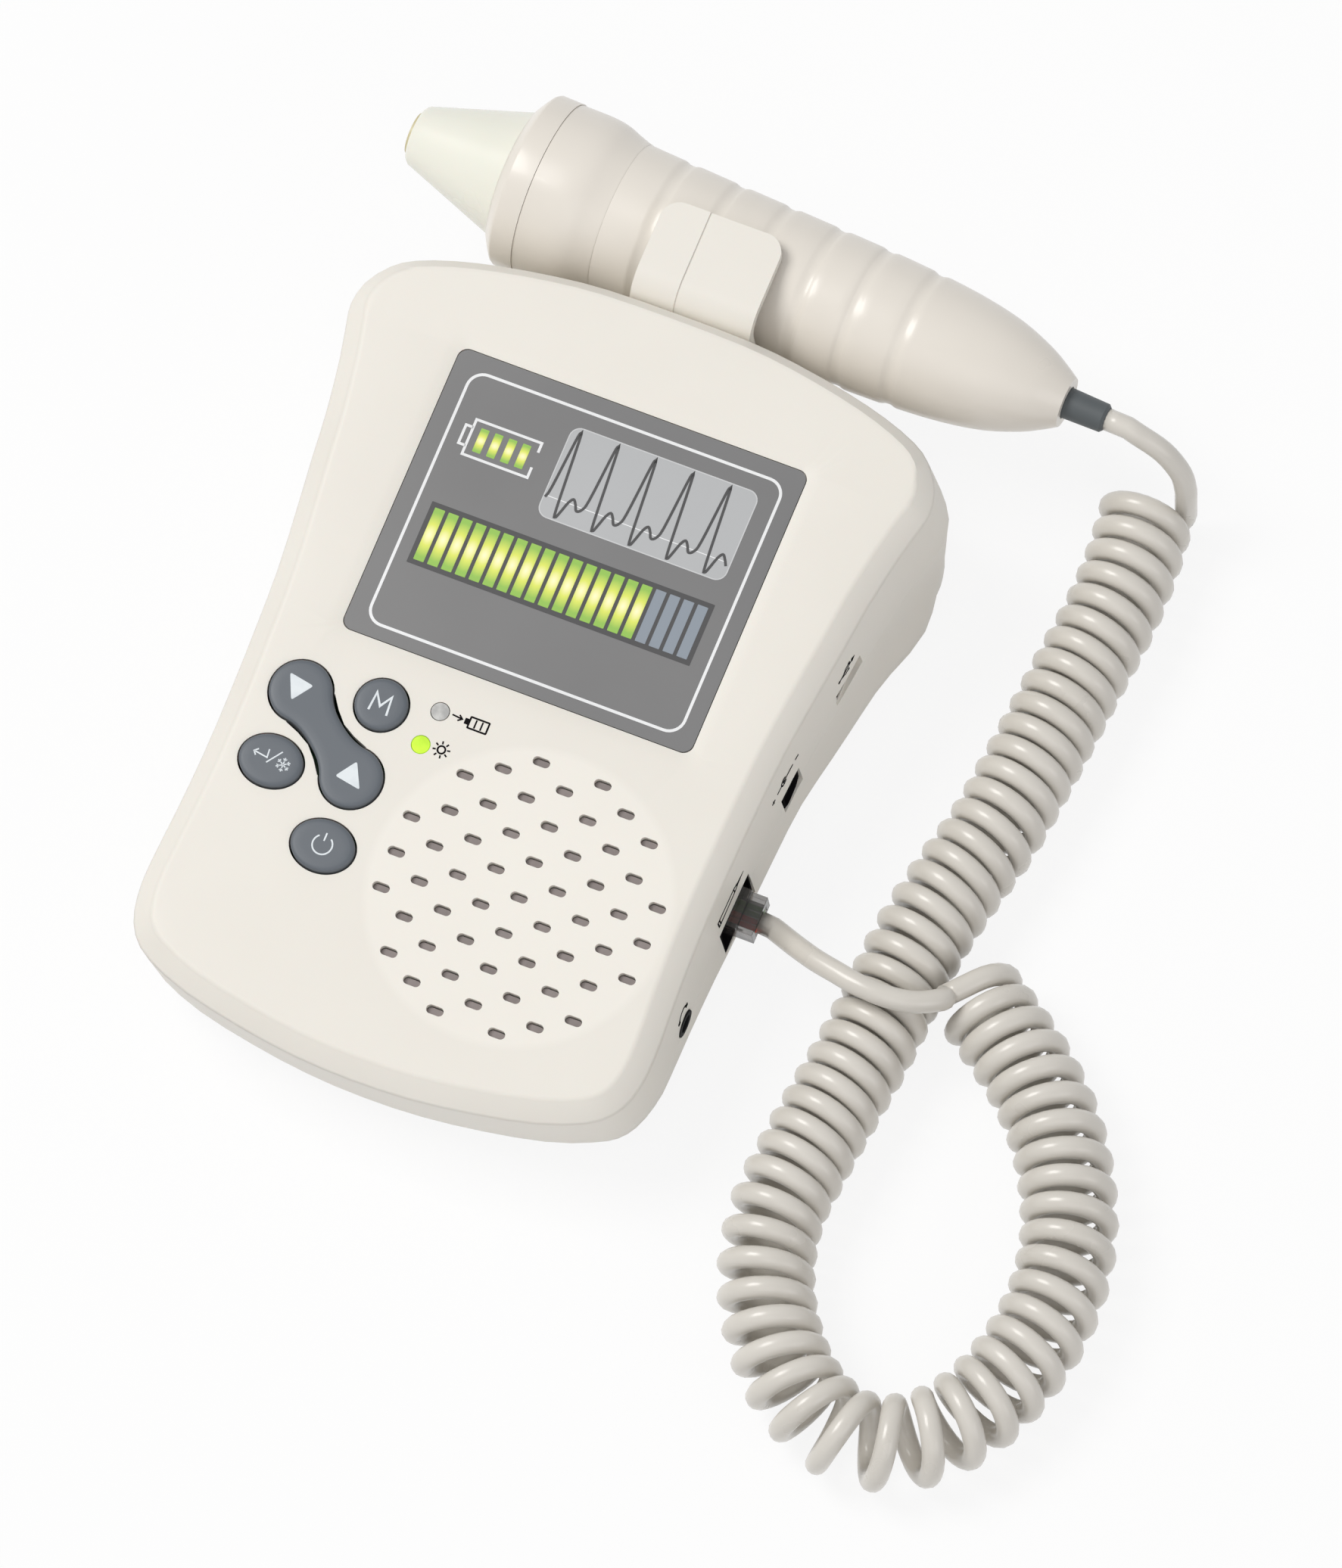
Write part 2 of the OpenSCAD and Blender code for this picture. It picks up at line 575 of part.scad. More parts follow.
// Cap, flange and stem of a key whose outline is the child grown by 0, by its flange, or drawn in
module key_layers(h) {
    translate([0, 0, flange_top - flange_t]) linear_extrude(h - key_h * 0.45 - flange_top + flange_t)
        children(0);
    translate([0, 0, h - key_h * 0.5]) linear_extrude(key_h * 0.5) children(1);
    translate([0, 0, flange_top - flange_t]) linear_extrude(flange_t) children(2);
}
module key_stem() {
    translate([0, 0, stem_low]) cylinder(r = stem_r, h = flange_top - stem_low);
}
module mode_key() color(slate) in_case() translate([mode_at.x, mode_at.y, 0]) {
    key_layers(key_h) {
        circle(mode_r);
        circle(mode_r - key_h / 2);
        circle(mode_r + flange_w);
    }
    key_stem();
}
module oval_key(at) color(slate) in_case() translate([at.x, at.y, 0]) {
    key_layers(key_h) {
        oval_plan(0);
        oval_plan(-key_h / 2);
        oval_plan(flange_w);
    }
    key_stem();
}
module enter_key() oval_key(enter_at);
module power_key() oval_key(power_at);
module rocker_key() color(slate) in_case() at_rocker() {
    translate([0, 0, -rocker_drop]) key_layers(key_h + rocker_drop) {
        rocker_plan(0);
        rocker_plan(-key_h / 2);
        rocker_plan(flange_w);
    }
    for (s = [-1, 1]) translate([s * rocker_span, 0, 0]) key_stem();
}
// The rocker's flange hangs lower, so that one end can rise while the other goes down
rocker_drop = 0.8;
pivot_r = 1.5;
module rocker_pivot() color([0.75, 0.76, 0.78]) in_case() at_rocker()
    translate([0, 0, board_top])
        cylinder(r = pivot_r, h = flange_top - flange_t - rocker_drop - fit - board_top);

module lamp(at, tint) color(tint) in_case() translate([at.x, at.y, 0]) {
    translate([0, 0, flange_top - flange_t]) cylinder(r = lamp_r, h = -flange_top + flange_t);
    translate([0, 0, flange_top - flange_t]) cylinder(r = lamp_r + flange_w / 2, h = flange_t);
    translate([0, 0, board_top]) cylinder(r = lamp_r * 0.7, h = flange_top - board_top);
}
module charge_lamp() lamp(charge_at, [0.8, 0.8, 0.8]);
module power_lamp() lamp(lamp_at, [0.7, 0.85, 0.1]);

module in_speaker() {
    in_case() translate([speaker_at.x, speaker_at.y, 0]) children();
}
basket_wall = 1;
basket_floor = 1.2;
basket_r = speaker_r - wall - fit * 2;
basket_top = rim_low - speaker_h + magnet_h;
cone_root = 7;
cone_t = 0.8;
cone_mouth = basket_r - basket_wall - fit;
module speaker_basket() color([0.25, 0.25, 0.26]) in_speaker() difference() {
    union() {
        translate([0, 0, rim_low]) cylinder(r = speaker_r, h = rim_t);
        translate([0, 0, basket_top]) cylinder(r = basket_r, h = rim_low - basket_top + fit);
    }
    translate([0, 0, basket_top + basket_floor]) cylinder(r = cone_mouth + fit, h = speaker_h);
    translate([0, 0, basket_top - over]) cylinder(r = cone_root + fit, h = basket_floor + 2 * over);
}
module speaker_cone() color([0.15, 0.15, 0.15]) in_speaker() rotate_extrude() polygon([
    [0, rim_low - rim_t], [cone_root - cone_t, basket_top + basket_floor + cone_t],
    [cone_root - cone_t, basket_top + fit], [cone_root, basket_top + fit],
    [cone_root, basket_top + basket_floor + fit], [cone_mouth - fit, rim_low + fit],
    [cone_mouth, rim_low + fit], [cone_mouth, rim_top - fit * 2], [cone_mouth - cone_t, rim_top - fit * 2],
    [cone_mouth - cone_t * 2, rim_low + cone_t], [cone_root, basket_top + basket_floor + cone_t * 2],
    [0, rim_low - rim_t + cone_t]]);
module speaker_magnet() color([0.4, 0.41, 0.42]) in_speaker()
    translate([0, 0, basket_top - magnet_h]) ring(magnet_r, cone_root / 2, magnet_h);
module speaker_screws() color([0.75, 0.76, 0.78]) in_case() for (p = speaker_posts)
    translate([p.x, p.y, rim_low]) {
        translate([0, 0, -screw_head_h * 0.7]) cylinder(r = screw_head_r, h = screw_head_h * 0.7);
        cylinder(r = speaker_post_r / 2 - fit / 3, h = rim_t - fit);
    }

// Sockets on the underside of the board, with their mouths just inside the wall
module socket_box(at, size, depth, hole, hole_depth) {
    face = half_width(at[0]) - wall - fit;
    difference() {
        translate([face - depth, at[0] - size[0] / 2, at[1] - size[1] / 2])
            cube([depth, size[0], min(size[1], board_low - at[1] + size[1] / 2)]);
        translate([face - hole_depth, at[0] - hole[0] / 2, at[1] - hole[1] / 2])
            cube([hole_depth + over, hole[0], hole[1]]);
    }
}
usb_depth = 6;
usb_tongue = [4.6, 0.5];
socket_depth = 17;
charger_depth = 9;
plug_w = 7.8;
plug_h = 6.2;
plug_drop = 1.2;
latch_w = 4.5;
latch_slot = 3;
metal_t = 0.45;
module usb_socket() color([0.72, 0.68, 0.6]) in_case() {
    socket_box(usb_at, usb_size, usb_depth, usb_size - 2 * [metal_t, metal_t], usb_depth - metal_t);
    face = half_width(usb_at[0]) - wall - fit;
    translate([face - usb_depth + metal_t, usb_at[0] - usb_tongue[0] / 2, usb_at[1] - usb_tongue[1] / 2])
        cube([usb_depth - 2 * metal_t, usb_tongue[0], usb_tongue[1]]);
}
module charger_socket() color([0.08, 0.08, 0.08]) in_case()
    socket_box(charger_at, charger_size, charger_depth, charger_size - 4 * [metal_t, metal_t],
        charger_depth - 2 * metal_t);
module probe_socket() color([0.07, 0.07, 0.07]) in_case() {
    face = half_width(socket_at[0]) - wall - fit;
    difference() {
        translate([face - socket_depth, socket_at[0] - socket_size[0] / 2, socket_at[1] - socket_size[1] / 2])
            cube([socket_depth, socket_size[0], board_low - socket_at[1] + socket_size[1] / 2]);
        translate([face - socket_depth + wall, socket_at[0] - plug_w / 2 - fit, plug_z - plug_h / 2 - fit])
            cube([socket_depth, plug_w + 2 * fit, plug_h + 2 * fit]);
        translate([face - socket_depth + wall, socket_at[0] - latch_w / 2 - 2 * fit,
            plug_z - plug_h / 2 - latch_slot - fit])
            cube([socket_depth, latch_w + 4 * fit, latch_slot + plug_h / 2]);
    }
}
module headphone_jack() color([0.1, 0.1, 0.1]) in_case() {
    x = half_width(jack_at[0]) + flare / 2;
    difference() {
        union() {
            at_side(jack_at, x - jack_depth - wall / 2) cylinder(r = jack_r, h = jack_depth + wall / 2);
            translate([x - jack_depth - wall / 2, jack_at[0] - jack_case / 2, jack_at[1] - jack_case / 2])
                cube([jack_depth - wall, jack_case, jack_case]);
        }
        at_side(jack_at, x - jack_depth) cylinder(r = jack_bore, h = jack_depth + over);
    }
}

cell_nub_r = 2.6;
cell_nub_l = 1;
module at_cells(x) {
    for (y = cells_at) translate([x, y, under_z(y) + wall + fit * 2 + cell_r]) rotate([0, 90, 0]) children();
}
module battery_cells() color([0.35, 0.55, 0.75]) in_case() {
    at_cells(-cell_l / 2) cylinder(r = cell_r, h = cell_l);
    at_cells(-cell_l / 2) cylinder(r = cell_nub_r, h = cell_l + cell_nub_l);
}
contact_t = 0.6;
holder_t = 1.6;
module battery_contacts() color([0.75, 0.76, 0.78]) in_case() {
    near = cells_at[0] - cell_r * 0.7;
    wide = cells_at[1] + cell_r * 0.7 - near;
    low = under_z(near) + wall + fit * 2;
    for (x = [-cell_l / 2 - fit - contact_t - holder_t, cell_l / 2 + cell_nub_l + fit])
        translate([x, near, low]) cube([contact_t + holder_t, wide, board_low - low]);
}

module case_screws() color([0.75, 0.76, 0.78]) in_case() for (p = posts)
    translate([p.x, p.y, seat_z(p)]) {
        translate([0, 0, -screw_head_h]) cylinder(r = screw_head_r, h = screw_head_h);
        cylinder(r = screw_r, h = -seat_z(p) - screw_bite);
    }

clip_round = 6;
clip_corner = 3.8;
clip_step = 0.3;
clip_step_share = 0.36;
low_jaw_l = 15;
module clip_profile(grow) {
    h = jaw_top - jaw_low;
    inner_r = clip_round - clip_t;
    translate([clip_seat + jaw_l, (jaw_top + jaw_low) / 2]) difference() {
        rounded(2 * jaw_l, h + 2 * grow, clip_round);
        rounded(2 * (jaw_l - clip_t), h - 2 * clip_t, inner_r);
        translate([0, -h]) square([2 * jaw_l, 2 * h]);
    }
}
module clip_bar(w, grow) {
    rotate([90, 0, 90]) translate([0, 0, -w / 2]) linear_extrude(w) clip_profile(grow);
}
module probe_clip() color(ivory) in_case() translate([clip_x, 0, 0]) difference() {
    intersection() {
        union() {
            clip_bar(clip_w, 0);
            translate([-clip_w / 2 + clip_w * clip_step_share / 2, 0, 0])
                clip_bar(clip_w * clip_step_share, clip_step);
        }
        translate([0, clip_seat + jaw_l / 2 - clip_corner / 2, jaw_low - over])
            linear_extrude(jaw_top - jaw_low + 2 * over) rounded(clip_w, jaw_l + clip_corner, clip_corner);
    }
    translate([-clip_w, clip_seat + low_jaw_l, jaw_low - over])
        cube([2 * clip_w, jaw_l, clip_t + 2 * over]);
    translate([-clip_x, 0, 0]) clip_screw_places(clip_seat - over)
        cylinder(r = screw_r + fit, h = clip_t + 2 * over);
}
module clip_screws() color([0.75, 0.76, 0.78]) in_case() {
    clip_screw_places(clip_seat + clip_t) cylinder(r = screw_head_r - fit, h = screw_head_h * 0.7);
    clip_screw_places(clip_seat - boss_l + over) cylinder(r = screw_r - fit * 4 / 3, h = clip_t + boss_l - over);
}

// Probe, drawn along +Z from the sensing face
lens_step = 0.7;
lens_rim = 0.6;
ring_wall = 2.6;
module probe_face() color([0.85, 0.8, 0.6]) along_probe() cylinder(r = face_r, h = lens_l);
crystal_t = 0.8;
crystal_gap = 0.4;
module probe_crystals() color([0.8, 0.75, 0.45]) along_probe() translate([0, 0, lens_l]) difference() {
    cylinder(r = face_r - fit, h = crystal_t);
    translate([-crystal_gap / 2, -2 * face_r, -over]) cube([crystal_gap, 4 * face_r, crystal_t + 2 * over]);
}
backing_l = 9;
module probe_backing() color([0.3, 0.3, 0.32]) along_probe() translate([0, 0, lens_l + crystal_t])
    cylinder(r = face_r - fit, h = backing_l);
module probe_cone() color(pale_green) along_probe() {
    spigot_r = ring_r - ring_wall - fit;
    rotate_extrude() polygon([[face_r + fit / 3, lens_step], [cone_tip_r - lens_rim, lens_step],
        [cone_tip_r, lens_step + lens_rim], [cone_root_r, cone_l], [spigot_r, cone_l],
        [spigot_r, cone_l + ring_l / 2], [spigot_r - probe_wall, cone_l + ring_l / 2],
        [cone_root_r - probe_wall, cone_l + probe_wall / 2], [cone_root_r - probe_wall * 1.4, cone_l],
        [face_r + fit / 3, backing_l + lens_l]]);
}
module probe_ring() color(ivory) along_probe() {
    lead = ring_round_share * ring_l;
    rotate_extrude() polygon([[cone_root_r - fit, cone_l - probe_wall / 2],
        [ring_r * 0.82, cone_l - probe_wall / 2], [ring_r * 0.93, cone_l + lead * 0.15],
        [ring_r * 0.98, cone_l + lead * 0.6], [ring_r, cone_l + lead], [ring_r, cone_l + ring_l - fit / 3],
        [ring_r - ring_wall, cone_l + ring_l - fit / 3], [ring_r - ring_wall, cone_l - fit],
        [cone_root_r + fit, cone_l - fit]]);
}
module handle_body() {
    inner = [for (p = handle_profile) [max(p[0] - probe_wall, relief_root_r + fit), p[1]]];
    last = len(handle_profile) - 1;
    translate([0, 0, handle_start]) rotate_extrude() polygon(concat(handle_profile,
        [[inner[last][0], inner[last][1]]],
        [for (i = [last - 1:-1:0]) if (inner[i][1] < handle_l - relief_inside) inner[i]]));
}
half_gap = 0.04;
module handle_half(side) color(ivory) along_probe() intersection() {
    handle_body();
    translate([-2 * ring_r, side > 0 ? half_gap : -half_gap - 2 * ring_r, 0])
        cube([4 * ring_r, 2 * ring_r, 2 * probe_l]);
}
module handle_near_half() handle_half(-1);
module handle_far_half() handle_half(1);
probe_board_l = 60;
module probe_board() color([0.1, 0.38, 0.2]) along_probe() {
    wide = handle_r((ring_l + probe_board_l) / handle_l) - groove_d - probe_wall - fit * 2;
    translate([-board_t / 2, -wide, handle_start + ring_l])
        cube([board_t, 2 * wide, probe_board_l]);
}
module strain_relief() color(slate) along_probe() translate([0, 0, probe_l]) {
    rotate_extrude() polygon([[0, -relief_inside], [relief_root_r, -relief_inside],
        [relief_root_r, 0], [relief_r, relief_l - relief_r / 5],
        [relief_r - relief_r / 5, relief_l], [0, relief_l]]);
}

// The lead: free stretches follow points chosen by hand, the coil is worked out
cord_sides = 8;
coil_sides = 6;
rings_per_curl = 8;
coil_z = curl_r + cord_d / 2 + 0.05;
relief_end = placed([probe_tip.x + (probe_l + relief_l) * cos(probe_turn),
    probe_tip.y + (probe_l + relief_l) * sin(probe_turn), probe_z]);
relief_way = placed([cos(probe_turn), sin(probe_turn), 0]) - placed([0, 0, 0]);
plug_out = 4.7;
cord_drop = 1.9;
plug_z = socket_at[1] + plug_rise;
plug_end = placed([half_width(socket_at[0]) + flare + plug_out, socket_at[0], plug_z - cord_drop]);

coil_route = [[79.4, 71], [80.9, 59], [81.2, 47], [80.4, 35], [79.7, 23], [78.9, 11], [77.8, -1],
    [75.4, -13], [73.6, -25], [73.1, -37], [72.6, -49], [71.5, -61], [70.5, -73], [70.2, -84.5],
    [73, -96], [78.7, -106.2], [87, -114.6], [98, -119.2], [109.2, -116], [117.1, -107],
    [121.5, -95], [122.8, -82.5], [121, -70.5], [116.3, -59.5], [109.7, -49.8], [101.3, -41.6],
    [91.8, -34.8], [87.2, -31.8]];
probe_stretch = [[76.2, 73.1, 32.3], [81.3, 73, 29], [84.9, 72.7, 23.4]];
plug_stretch = [[83.4, -38.3, 18.3], [79.5, -41.3, 20.2], [74.5, -42.6, 21.2], [69, -42.4, 21.2],
    [64, -41.2, 20.2], [59, -39.6, 18.7], [54.5, -38, 16.9]];

function spline_point(p, i, t) = let (a = p[max(i - 1, 0)], b = p[i], c = p[i + 1],
    d = p[min(i + 2, len(p) - 1)])
    (2 * b + (c - a) * t + (2 * a - 5 * b + 4 * c - d) * t * t + (3 * b - a - 3 * c + d) * t * t * t) / 2;
function spline(p, steps) = concat([for (i = [0:len(p) - 2], k = [0:steps - 1])
    spline_point(p, i, k / steps)], [p[len(p) - 1]]);
function run_lengths(p) = [for (i = 0, s = 0; i < len(p);
    s = s + (i < len(p) - 1 ? norm(p[i + 1] - p[i]) : 0), i = i + 1) s];

route_steps = 6;
coil_line = spline(coil_route, route_steps);
coil_runs = run_lengths(coil_line);
coil_len = coil_runs[len(coil_runs) - 1];
table_x = [for (i = [0:len(coil_line) - 1]) [coil_runs[i], coil_line[i].x]];
table_y = [for (i = [0:len(coil_line) - 1]) [coil_runs[i], coil_line[i].y]];
function coil_mid(s) = [lookup(s, table_x), lookup(s, table_y)];
// Curls lie close along the inner side of every bend, so they open up on its outer side
bend_reach = 6;
turn_reach = 2 * cord_d;
last_point = len(coil_line) - 1;
function turned(a, b) = asin(min(1, norm(cross([a.x, a.y, 0], [b.x, b.y, 0])) / norm(a) / norm(b)));
function bend_at(i) = let (k = max(bend_reach, min(last_point - bend_reach, i)),
    a = coil_line[k] - coil_line[k - bend_reach], b = coil_line[k + bend_reach] - coil_line[k])
    turned(a, b) * PI / 180 * 2 / (norm(a) + norm(b));
curl_runs = [for (i = 0, c = 0; i <= last_point; c = c + (i < last_point
    ? (coil_runs[i + 1] - coil_runs[i]) * (1 - curl_r * bend_at(i)) : 0), i = i + 1) c];
inner_pitch = curl_runs[last_point] / curls;
curl_table = [for (i = [0:last_point]) [curl_runs[i] / inner_pitch, coil_runs[i]]];
function helix(c) = let (s = lookup(c, curl_table), m = coil_mid(s),
    t = unit(coil_mid(min(s + turn_reach, coil_len)) - coil_mid(max(s - turn_reach, 0))),
    a = -360 * c)
    [m.x - t.y * curl_r * cos(a), m.y + t.x * curl_r * cos(a), coil_z + curl_r * sin(a)];
coil_turns = [for (k = [0:rings_per_curl * curls]) helix(k / rings_per_curl)];
coil_first = coil_turns[0] + [0, 0, cord_d];
last_turn = coil_turns[len(coil_turns) - 1];
end_way = unit([last_turn.x - coil_turns[len(coil_turns) - 2].x,
    last_turn.y - coil_turns[len(coil_turns) - 2].y, 0]);
coil_last = last_turn + cord_d * end_way;
coil_path = concat([coil_first], coil_turns, [coil_last]);

// Tube along a path, with its end faces square to the given directions
function tangent(p, i, from, to) = i == 0 ? from : i == len(p) - 1 ? to : unit(p[i + 1] - p[i - 1]);
function square_to(v, t) = unit(v - (v * t) * t);
function frames(p, from, to, start) = [for (i = 0, u = square_to(start, from); i < len(p);
    i = i + 1, u = i < len(p) ? square_to(u, tangent(p, i, from, to)) : u) u];
module tube(path, from, to, start, sides) {
    n = len(path);
    ups = frames(path, from, to, start);
    points = [for (i = [0:n - 1]) let (t = tangent(path, i, from, to), u = ups[i], v = cross(t, u))
        each [for (k = [0:sides - 1]) let (a = 360 * k / sides)
            path[i] + cord_d / 2 * (cos(a) * u + sin(a) * v)]];
    walls = [for (i = [0:n - 2], k = [0:sides - 1])
        let (a = i * sides + k, b = i * sides + (k + 1) % sides)
        each [[a, a + sides, b], [b, a + sides, b + sides]]];
    caps = [for (k = [1:sides - 2]) each [[0, k, k + 1],
        [(n - 1) * sides, (n - 1) * sides + k + 1, (n - 1) * sides + k]]];
    polyhedron(points, concat(walls, caps));
}

down = [0, 0, -1];
level = [0, 1, 0];
// Least gap of the coil to itself, from ring to ring
function coil_gap() = min([for (k = [0:len(coil_turns) - rings_per_curl + 2],
    e = [k + rings_per_curl - 3:len(coil_turns) - 1]) norm(coil_turns[k] - coil_turns[e])]) - cord_d;

probe_path = concat([relief_end, relief_end + cord_d * relief_way],
    [for (p = spline(concat([relief_end + cord_d * relief_way], probe_stretch, [coil_first - 1.2 * cord_d * down]), 2))
        if (norm(p - relief_end) > cord_d * 1.2) p], [coil_first]);
plug_path = concat([coil_last, coil_last + cord_d / 2 * end_way],
    [for (p = spline(concat([coil_last + cord_d / 2 * end_way], plug_stretch, [plug_end + [cord_d, 0, 0]]), 2))
        if (norm(p - coil_last) > cord_d * 0.8) p], [plug_end]);
module cord_probe_end() color(lead_grey) tube(probe_path, relief_way, down, level, cord_sides);
module cord_coil() {
    echo(coil_length = coil_len, least_gap_of_coil_to_itself = coil_gap());
    color(lead_grey) tube(coil_path, down, end_way, level, coil_sides);
}
module cord_plug_end() color(lead_grey) tube(plug_path, end_way, [-1, 0, 0], down, cord_sides);

// Clear plug with its latch, contacts and wires
plug_l = 20;
plug_neck = 3;
module in_plug() {
    in_case() translate([half_width(socket_at[0]) + flare + plug_out, socket_at[0], plug_z]) children();
}
wire_r = 0.55;
wire_pitch = 1.2;
wires = 4;
contact_l = 6;
module plug_body() color([0.75, 0.78, 0.8]) in_plug() difference() {
    translate([-plug_l, -plug_w / 2, -plug_h / 2]) cube([plug_l, plug_w, plug_h]);
    translate([-plug_l * 0.72, -plug_w * 0.34, -plug_drop - cord_d * 0.3])
        cube([plug_l * 0.72 + over, plug_w * 0.68, cord_d * 0.6]);
    translate([-plug_neck, -plug_w, plug_h / 2 - plug_drop]) cube([plug_neck + over, 2 * plug_w, plug_drop + over]);
    translate([-plug_l - over, -plug_w * 0.4, plug_h / 2 - plug_drop])
        cube([contact_l + over, plug_w * 0.8, plug_drop + over]);
}
latch_l = 13;
latch_t = 1;
latch_turn = 10;
module plug_latch() color([0.75, 0.78, 0.8]) in_plug()
    translate([-plug_neck - latch_l, -latch_w / 2, -plug_h / 2 - latch_t - fit * 2])
        rotate([0, latch_turn, 0]) cube([latch_l, latch_w, latch_t]);
module plug_contacts() color([0.85, 0.7, 0.35]) in_plug() for (k = [0:wires - 1])
    translate([-plug_l + fit, (k - (wires - 1) / 2) * wire_pitch - wire_r / 2, plug_h / 2 - plug_drop])
        cube([contact_l - fit, wire_r, plug_drop * 0.8]);
module plug_wires() color([0.8, 0.2, 0.15]) in_plug() for (k = [0:wires - 1])
    translate([-plug_l * 0.7, (k - (wires - 1) / 2) * wire_pitch, -plug_drop])
        rotate([0, 90, 0]) cylinder(r = wire_r, h = plug_l * 0.7 - fit);

upper_shell();
lower_shell();
display_window();
display_frame();
display_panel();
main_board();
key_switches();
mode_key();
rocker_key();
enter_key();
power_key();
rocker_pivot();
charge_lamp();
power_lamp();
speaker_basket();
speaker_cone();
speaker_magnet();
speaker_screws();
probe_socket();
usb_socket();
charger_socket();
headphone_jack();
battery_cells();
battery_contacts();
battery_cover();
cover_screws();
case_screws();
feet();
probe_clip();
clip_screws();
probe_face();
probe_crystals();
probe_backing();
probe_cone();
probe_ring();
handle_near_half();
handle_far_half();
probe_board();
strain_relief();
cord_probe_end();
cord_coil();
cord_plug_end();
plug_body();
plug_latch();
plug_contacts();
plug_wires();
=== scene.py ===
import bpy
import bmesh
import json
import math
from mathutils import Matrix, Vector
from mathutils.bvhtree import BVHTree
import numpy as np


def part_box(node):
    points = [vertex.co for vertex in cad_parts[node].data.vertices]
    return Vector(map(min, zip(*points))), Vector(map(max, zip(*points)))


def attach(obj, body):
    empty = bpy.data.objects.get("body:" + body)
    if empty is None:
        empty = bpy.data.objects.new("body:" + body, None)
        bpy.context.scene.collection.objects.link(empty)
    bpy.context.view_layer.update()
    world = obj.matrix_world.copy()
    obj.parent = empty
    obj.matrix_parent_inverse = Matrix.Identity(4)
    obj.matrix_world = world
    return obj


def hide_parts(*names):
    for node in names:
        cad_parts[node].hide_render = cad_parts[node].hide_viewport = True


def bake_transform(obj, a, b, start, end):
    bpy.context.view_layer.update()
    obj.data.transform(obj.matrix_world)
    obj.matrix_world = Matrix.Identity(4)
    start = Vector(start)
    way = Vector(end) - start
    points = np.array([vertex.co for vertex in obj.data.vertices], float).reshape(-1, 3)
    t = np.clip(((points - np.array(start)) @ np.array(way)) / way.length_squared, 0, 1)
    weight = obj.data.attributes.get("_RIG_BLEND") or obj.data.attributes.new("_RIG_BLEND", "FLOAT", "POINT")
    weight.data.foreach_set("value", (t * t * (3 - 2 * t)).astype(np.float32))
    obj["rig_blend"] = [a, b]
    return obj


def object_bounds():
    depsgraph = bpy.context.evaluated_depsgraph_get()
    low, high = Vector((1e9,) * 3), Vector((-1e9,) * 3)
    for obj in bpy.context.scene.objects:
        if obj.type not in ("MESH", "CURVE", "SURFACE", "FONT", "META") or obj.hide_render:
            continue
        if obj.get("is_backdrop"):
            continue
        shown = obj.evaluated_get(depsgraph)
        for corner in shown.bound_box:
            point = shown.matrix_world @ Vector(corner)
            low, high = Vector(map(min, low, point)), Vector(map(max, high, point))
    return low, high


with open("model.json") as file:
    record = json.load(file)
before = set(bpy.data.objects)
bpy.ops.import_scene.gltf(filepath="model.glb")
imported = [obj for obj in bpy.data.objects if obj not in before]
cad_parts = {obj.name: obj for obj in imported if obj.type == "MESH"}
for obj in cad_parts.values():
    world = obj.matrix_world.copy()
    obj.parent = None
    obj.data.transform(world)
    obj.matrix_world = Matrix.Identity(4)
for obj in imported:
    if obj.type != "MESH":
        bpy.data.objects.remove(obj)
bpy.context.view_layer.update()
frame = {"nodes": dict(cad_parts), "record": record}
mm = 0.001

# The face of the case slopes, so most pieces are drawn flat on it and then placed
casePlace = {"shift": (-7.56703, -18.3837, 39.0), "slope": 7.5}
caseMatrix = (Matrix.Translation(Vector(casePlace["shift"]) * mm)
              @ Matrix.Rotation(math.radians(casePlace["slope"]), 4, "X"))


def onFace(x, y, z, turn=0.0):
    return (caseMatrix @ Matrix.Translation(Vector((x, y, z)) * mm)
            @ Matrix.Rotation(math.radians(turn), 4, "Z"))


# Camera at the photograph's angle
cameraLook = {
    "place": (0.498353, -0.947164, 2.345038),
    "right": (0.9209, 0.3884, -0.0334),
    "up": (-0.3422, 0.8463, 0.4083),
    "back": (0.1869, -0.3645, 0.9122),
    "lens": 322.97,
    "sensor": 36.0,
    "clip": (0.1, 30.0),
}
cameraData = bpy.data.cameras.new("photoCamera")
cameraData.lens = cameraLook["lens"]
cameraData.sensor_width = cameraLook["sensor"]
cameraData.clip_start, cameraData.clip_end = cameraLook["clip"]
camera = bpy.data.objects.new("photoCamera", cameraData)
bpy.context.scene.collection.objects.link(camera)
turnMatrix = Matrix((cameraLook["right"], cameraLook["up"], cameraLook["back"])).transposed()
camera.rotation_mode = "QUATERNION"
camera.location = cameraLook["place"]
camera.rotation_quaternion = turnMatrix.to_quaternion()
bpy.context.scene.camera = camera
print("camera placed")


# Finishes: each has a fine grain, a slow change of tone and uneven gloss
finishBase = {
    "cloud": 25, "cloudDetail": 4, "cloudStops": (0.35, 0.62), "cloudShade": 0.94,
    "grain": 1800, "grainDetail": 3, "depth": 0.00002, "bump": 0.5,
    "rough": 0.45, "roughSpread": (0.88, 1.12), "noiseRange": (0.3, 0.7), "sockets": {},
    "speckStops": [(0.035, (0.72, 0.7, 0.67)), (0.06, (1, 1, 1))], "speckShare": 0.6,
    "padEdge": (0.0272, 0.0288), "padStops": [(0.0, (1, 1, 1)), (1.0, (0.955, 0.953, 0.95))],
    "cellMiddle": (0.5, 0.5, 0),
}


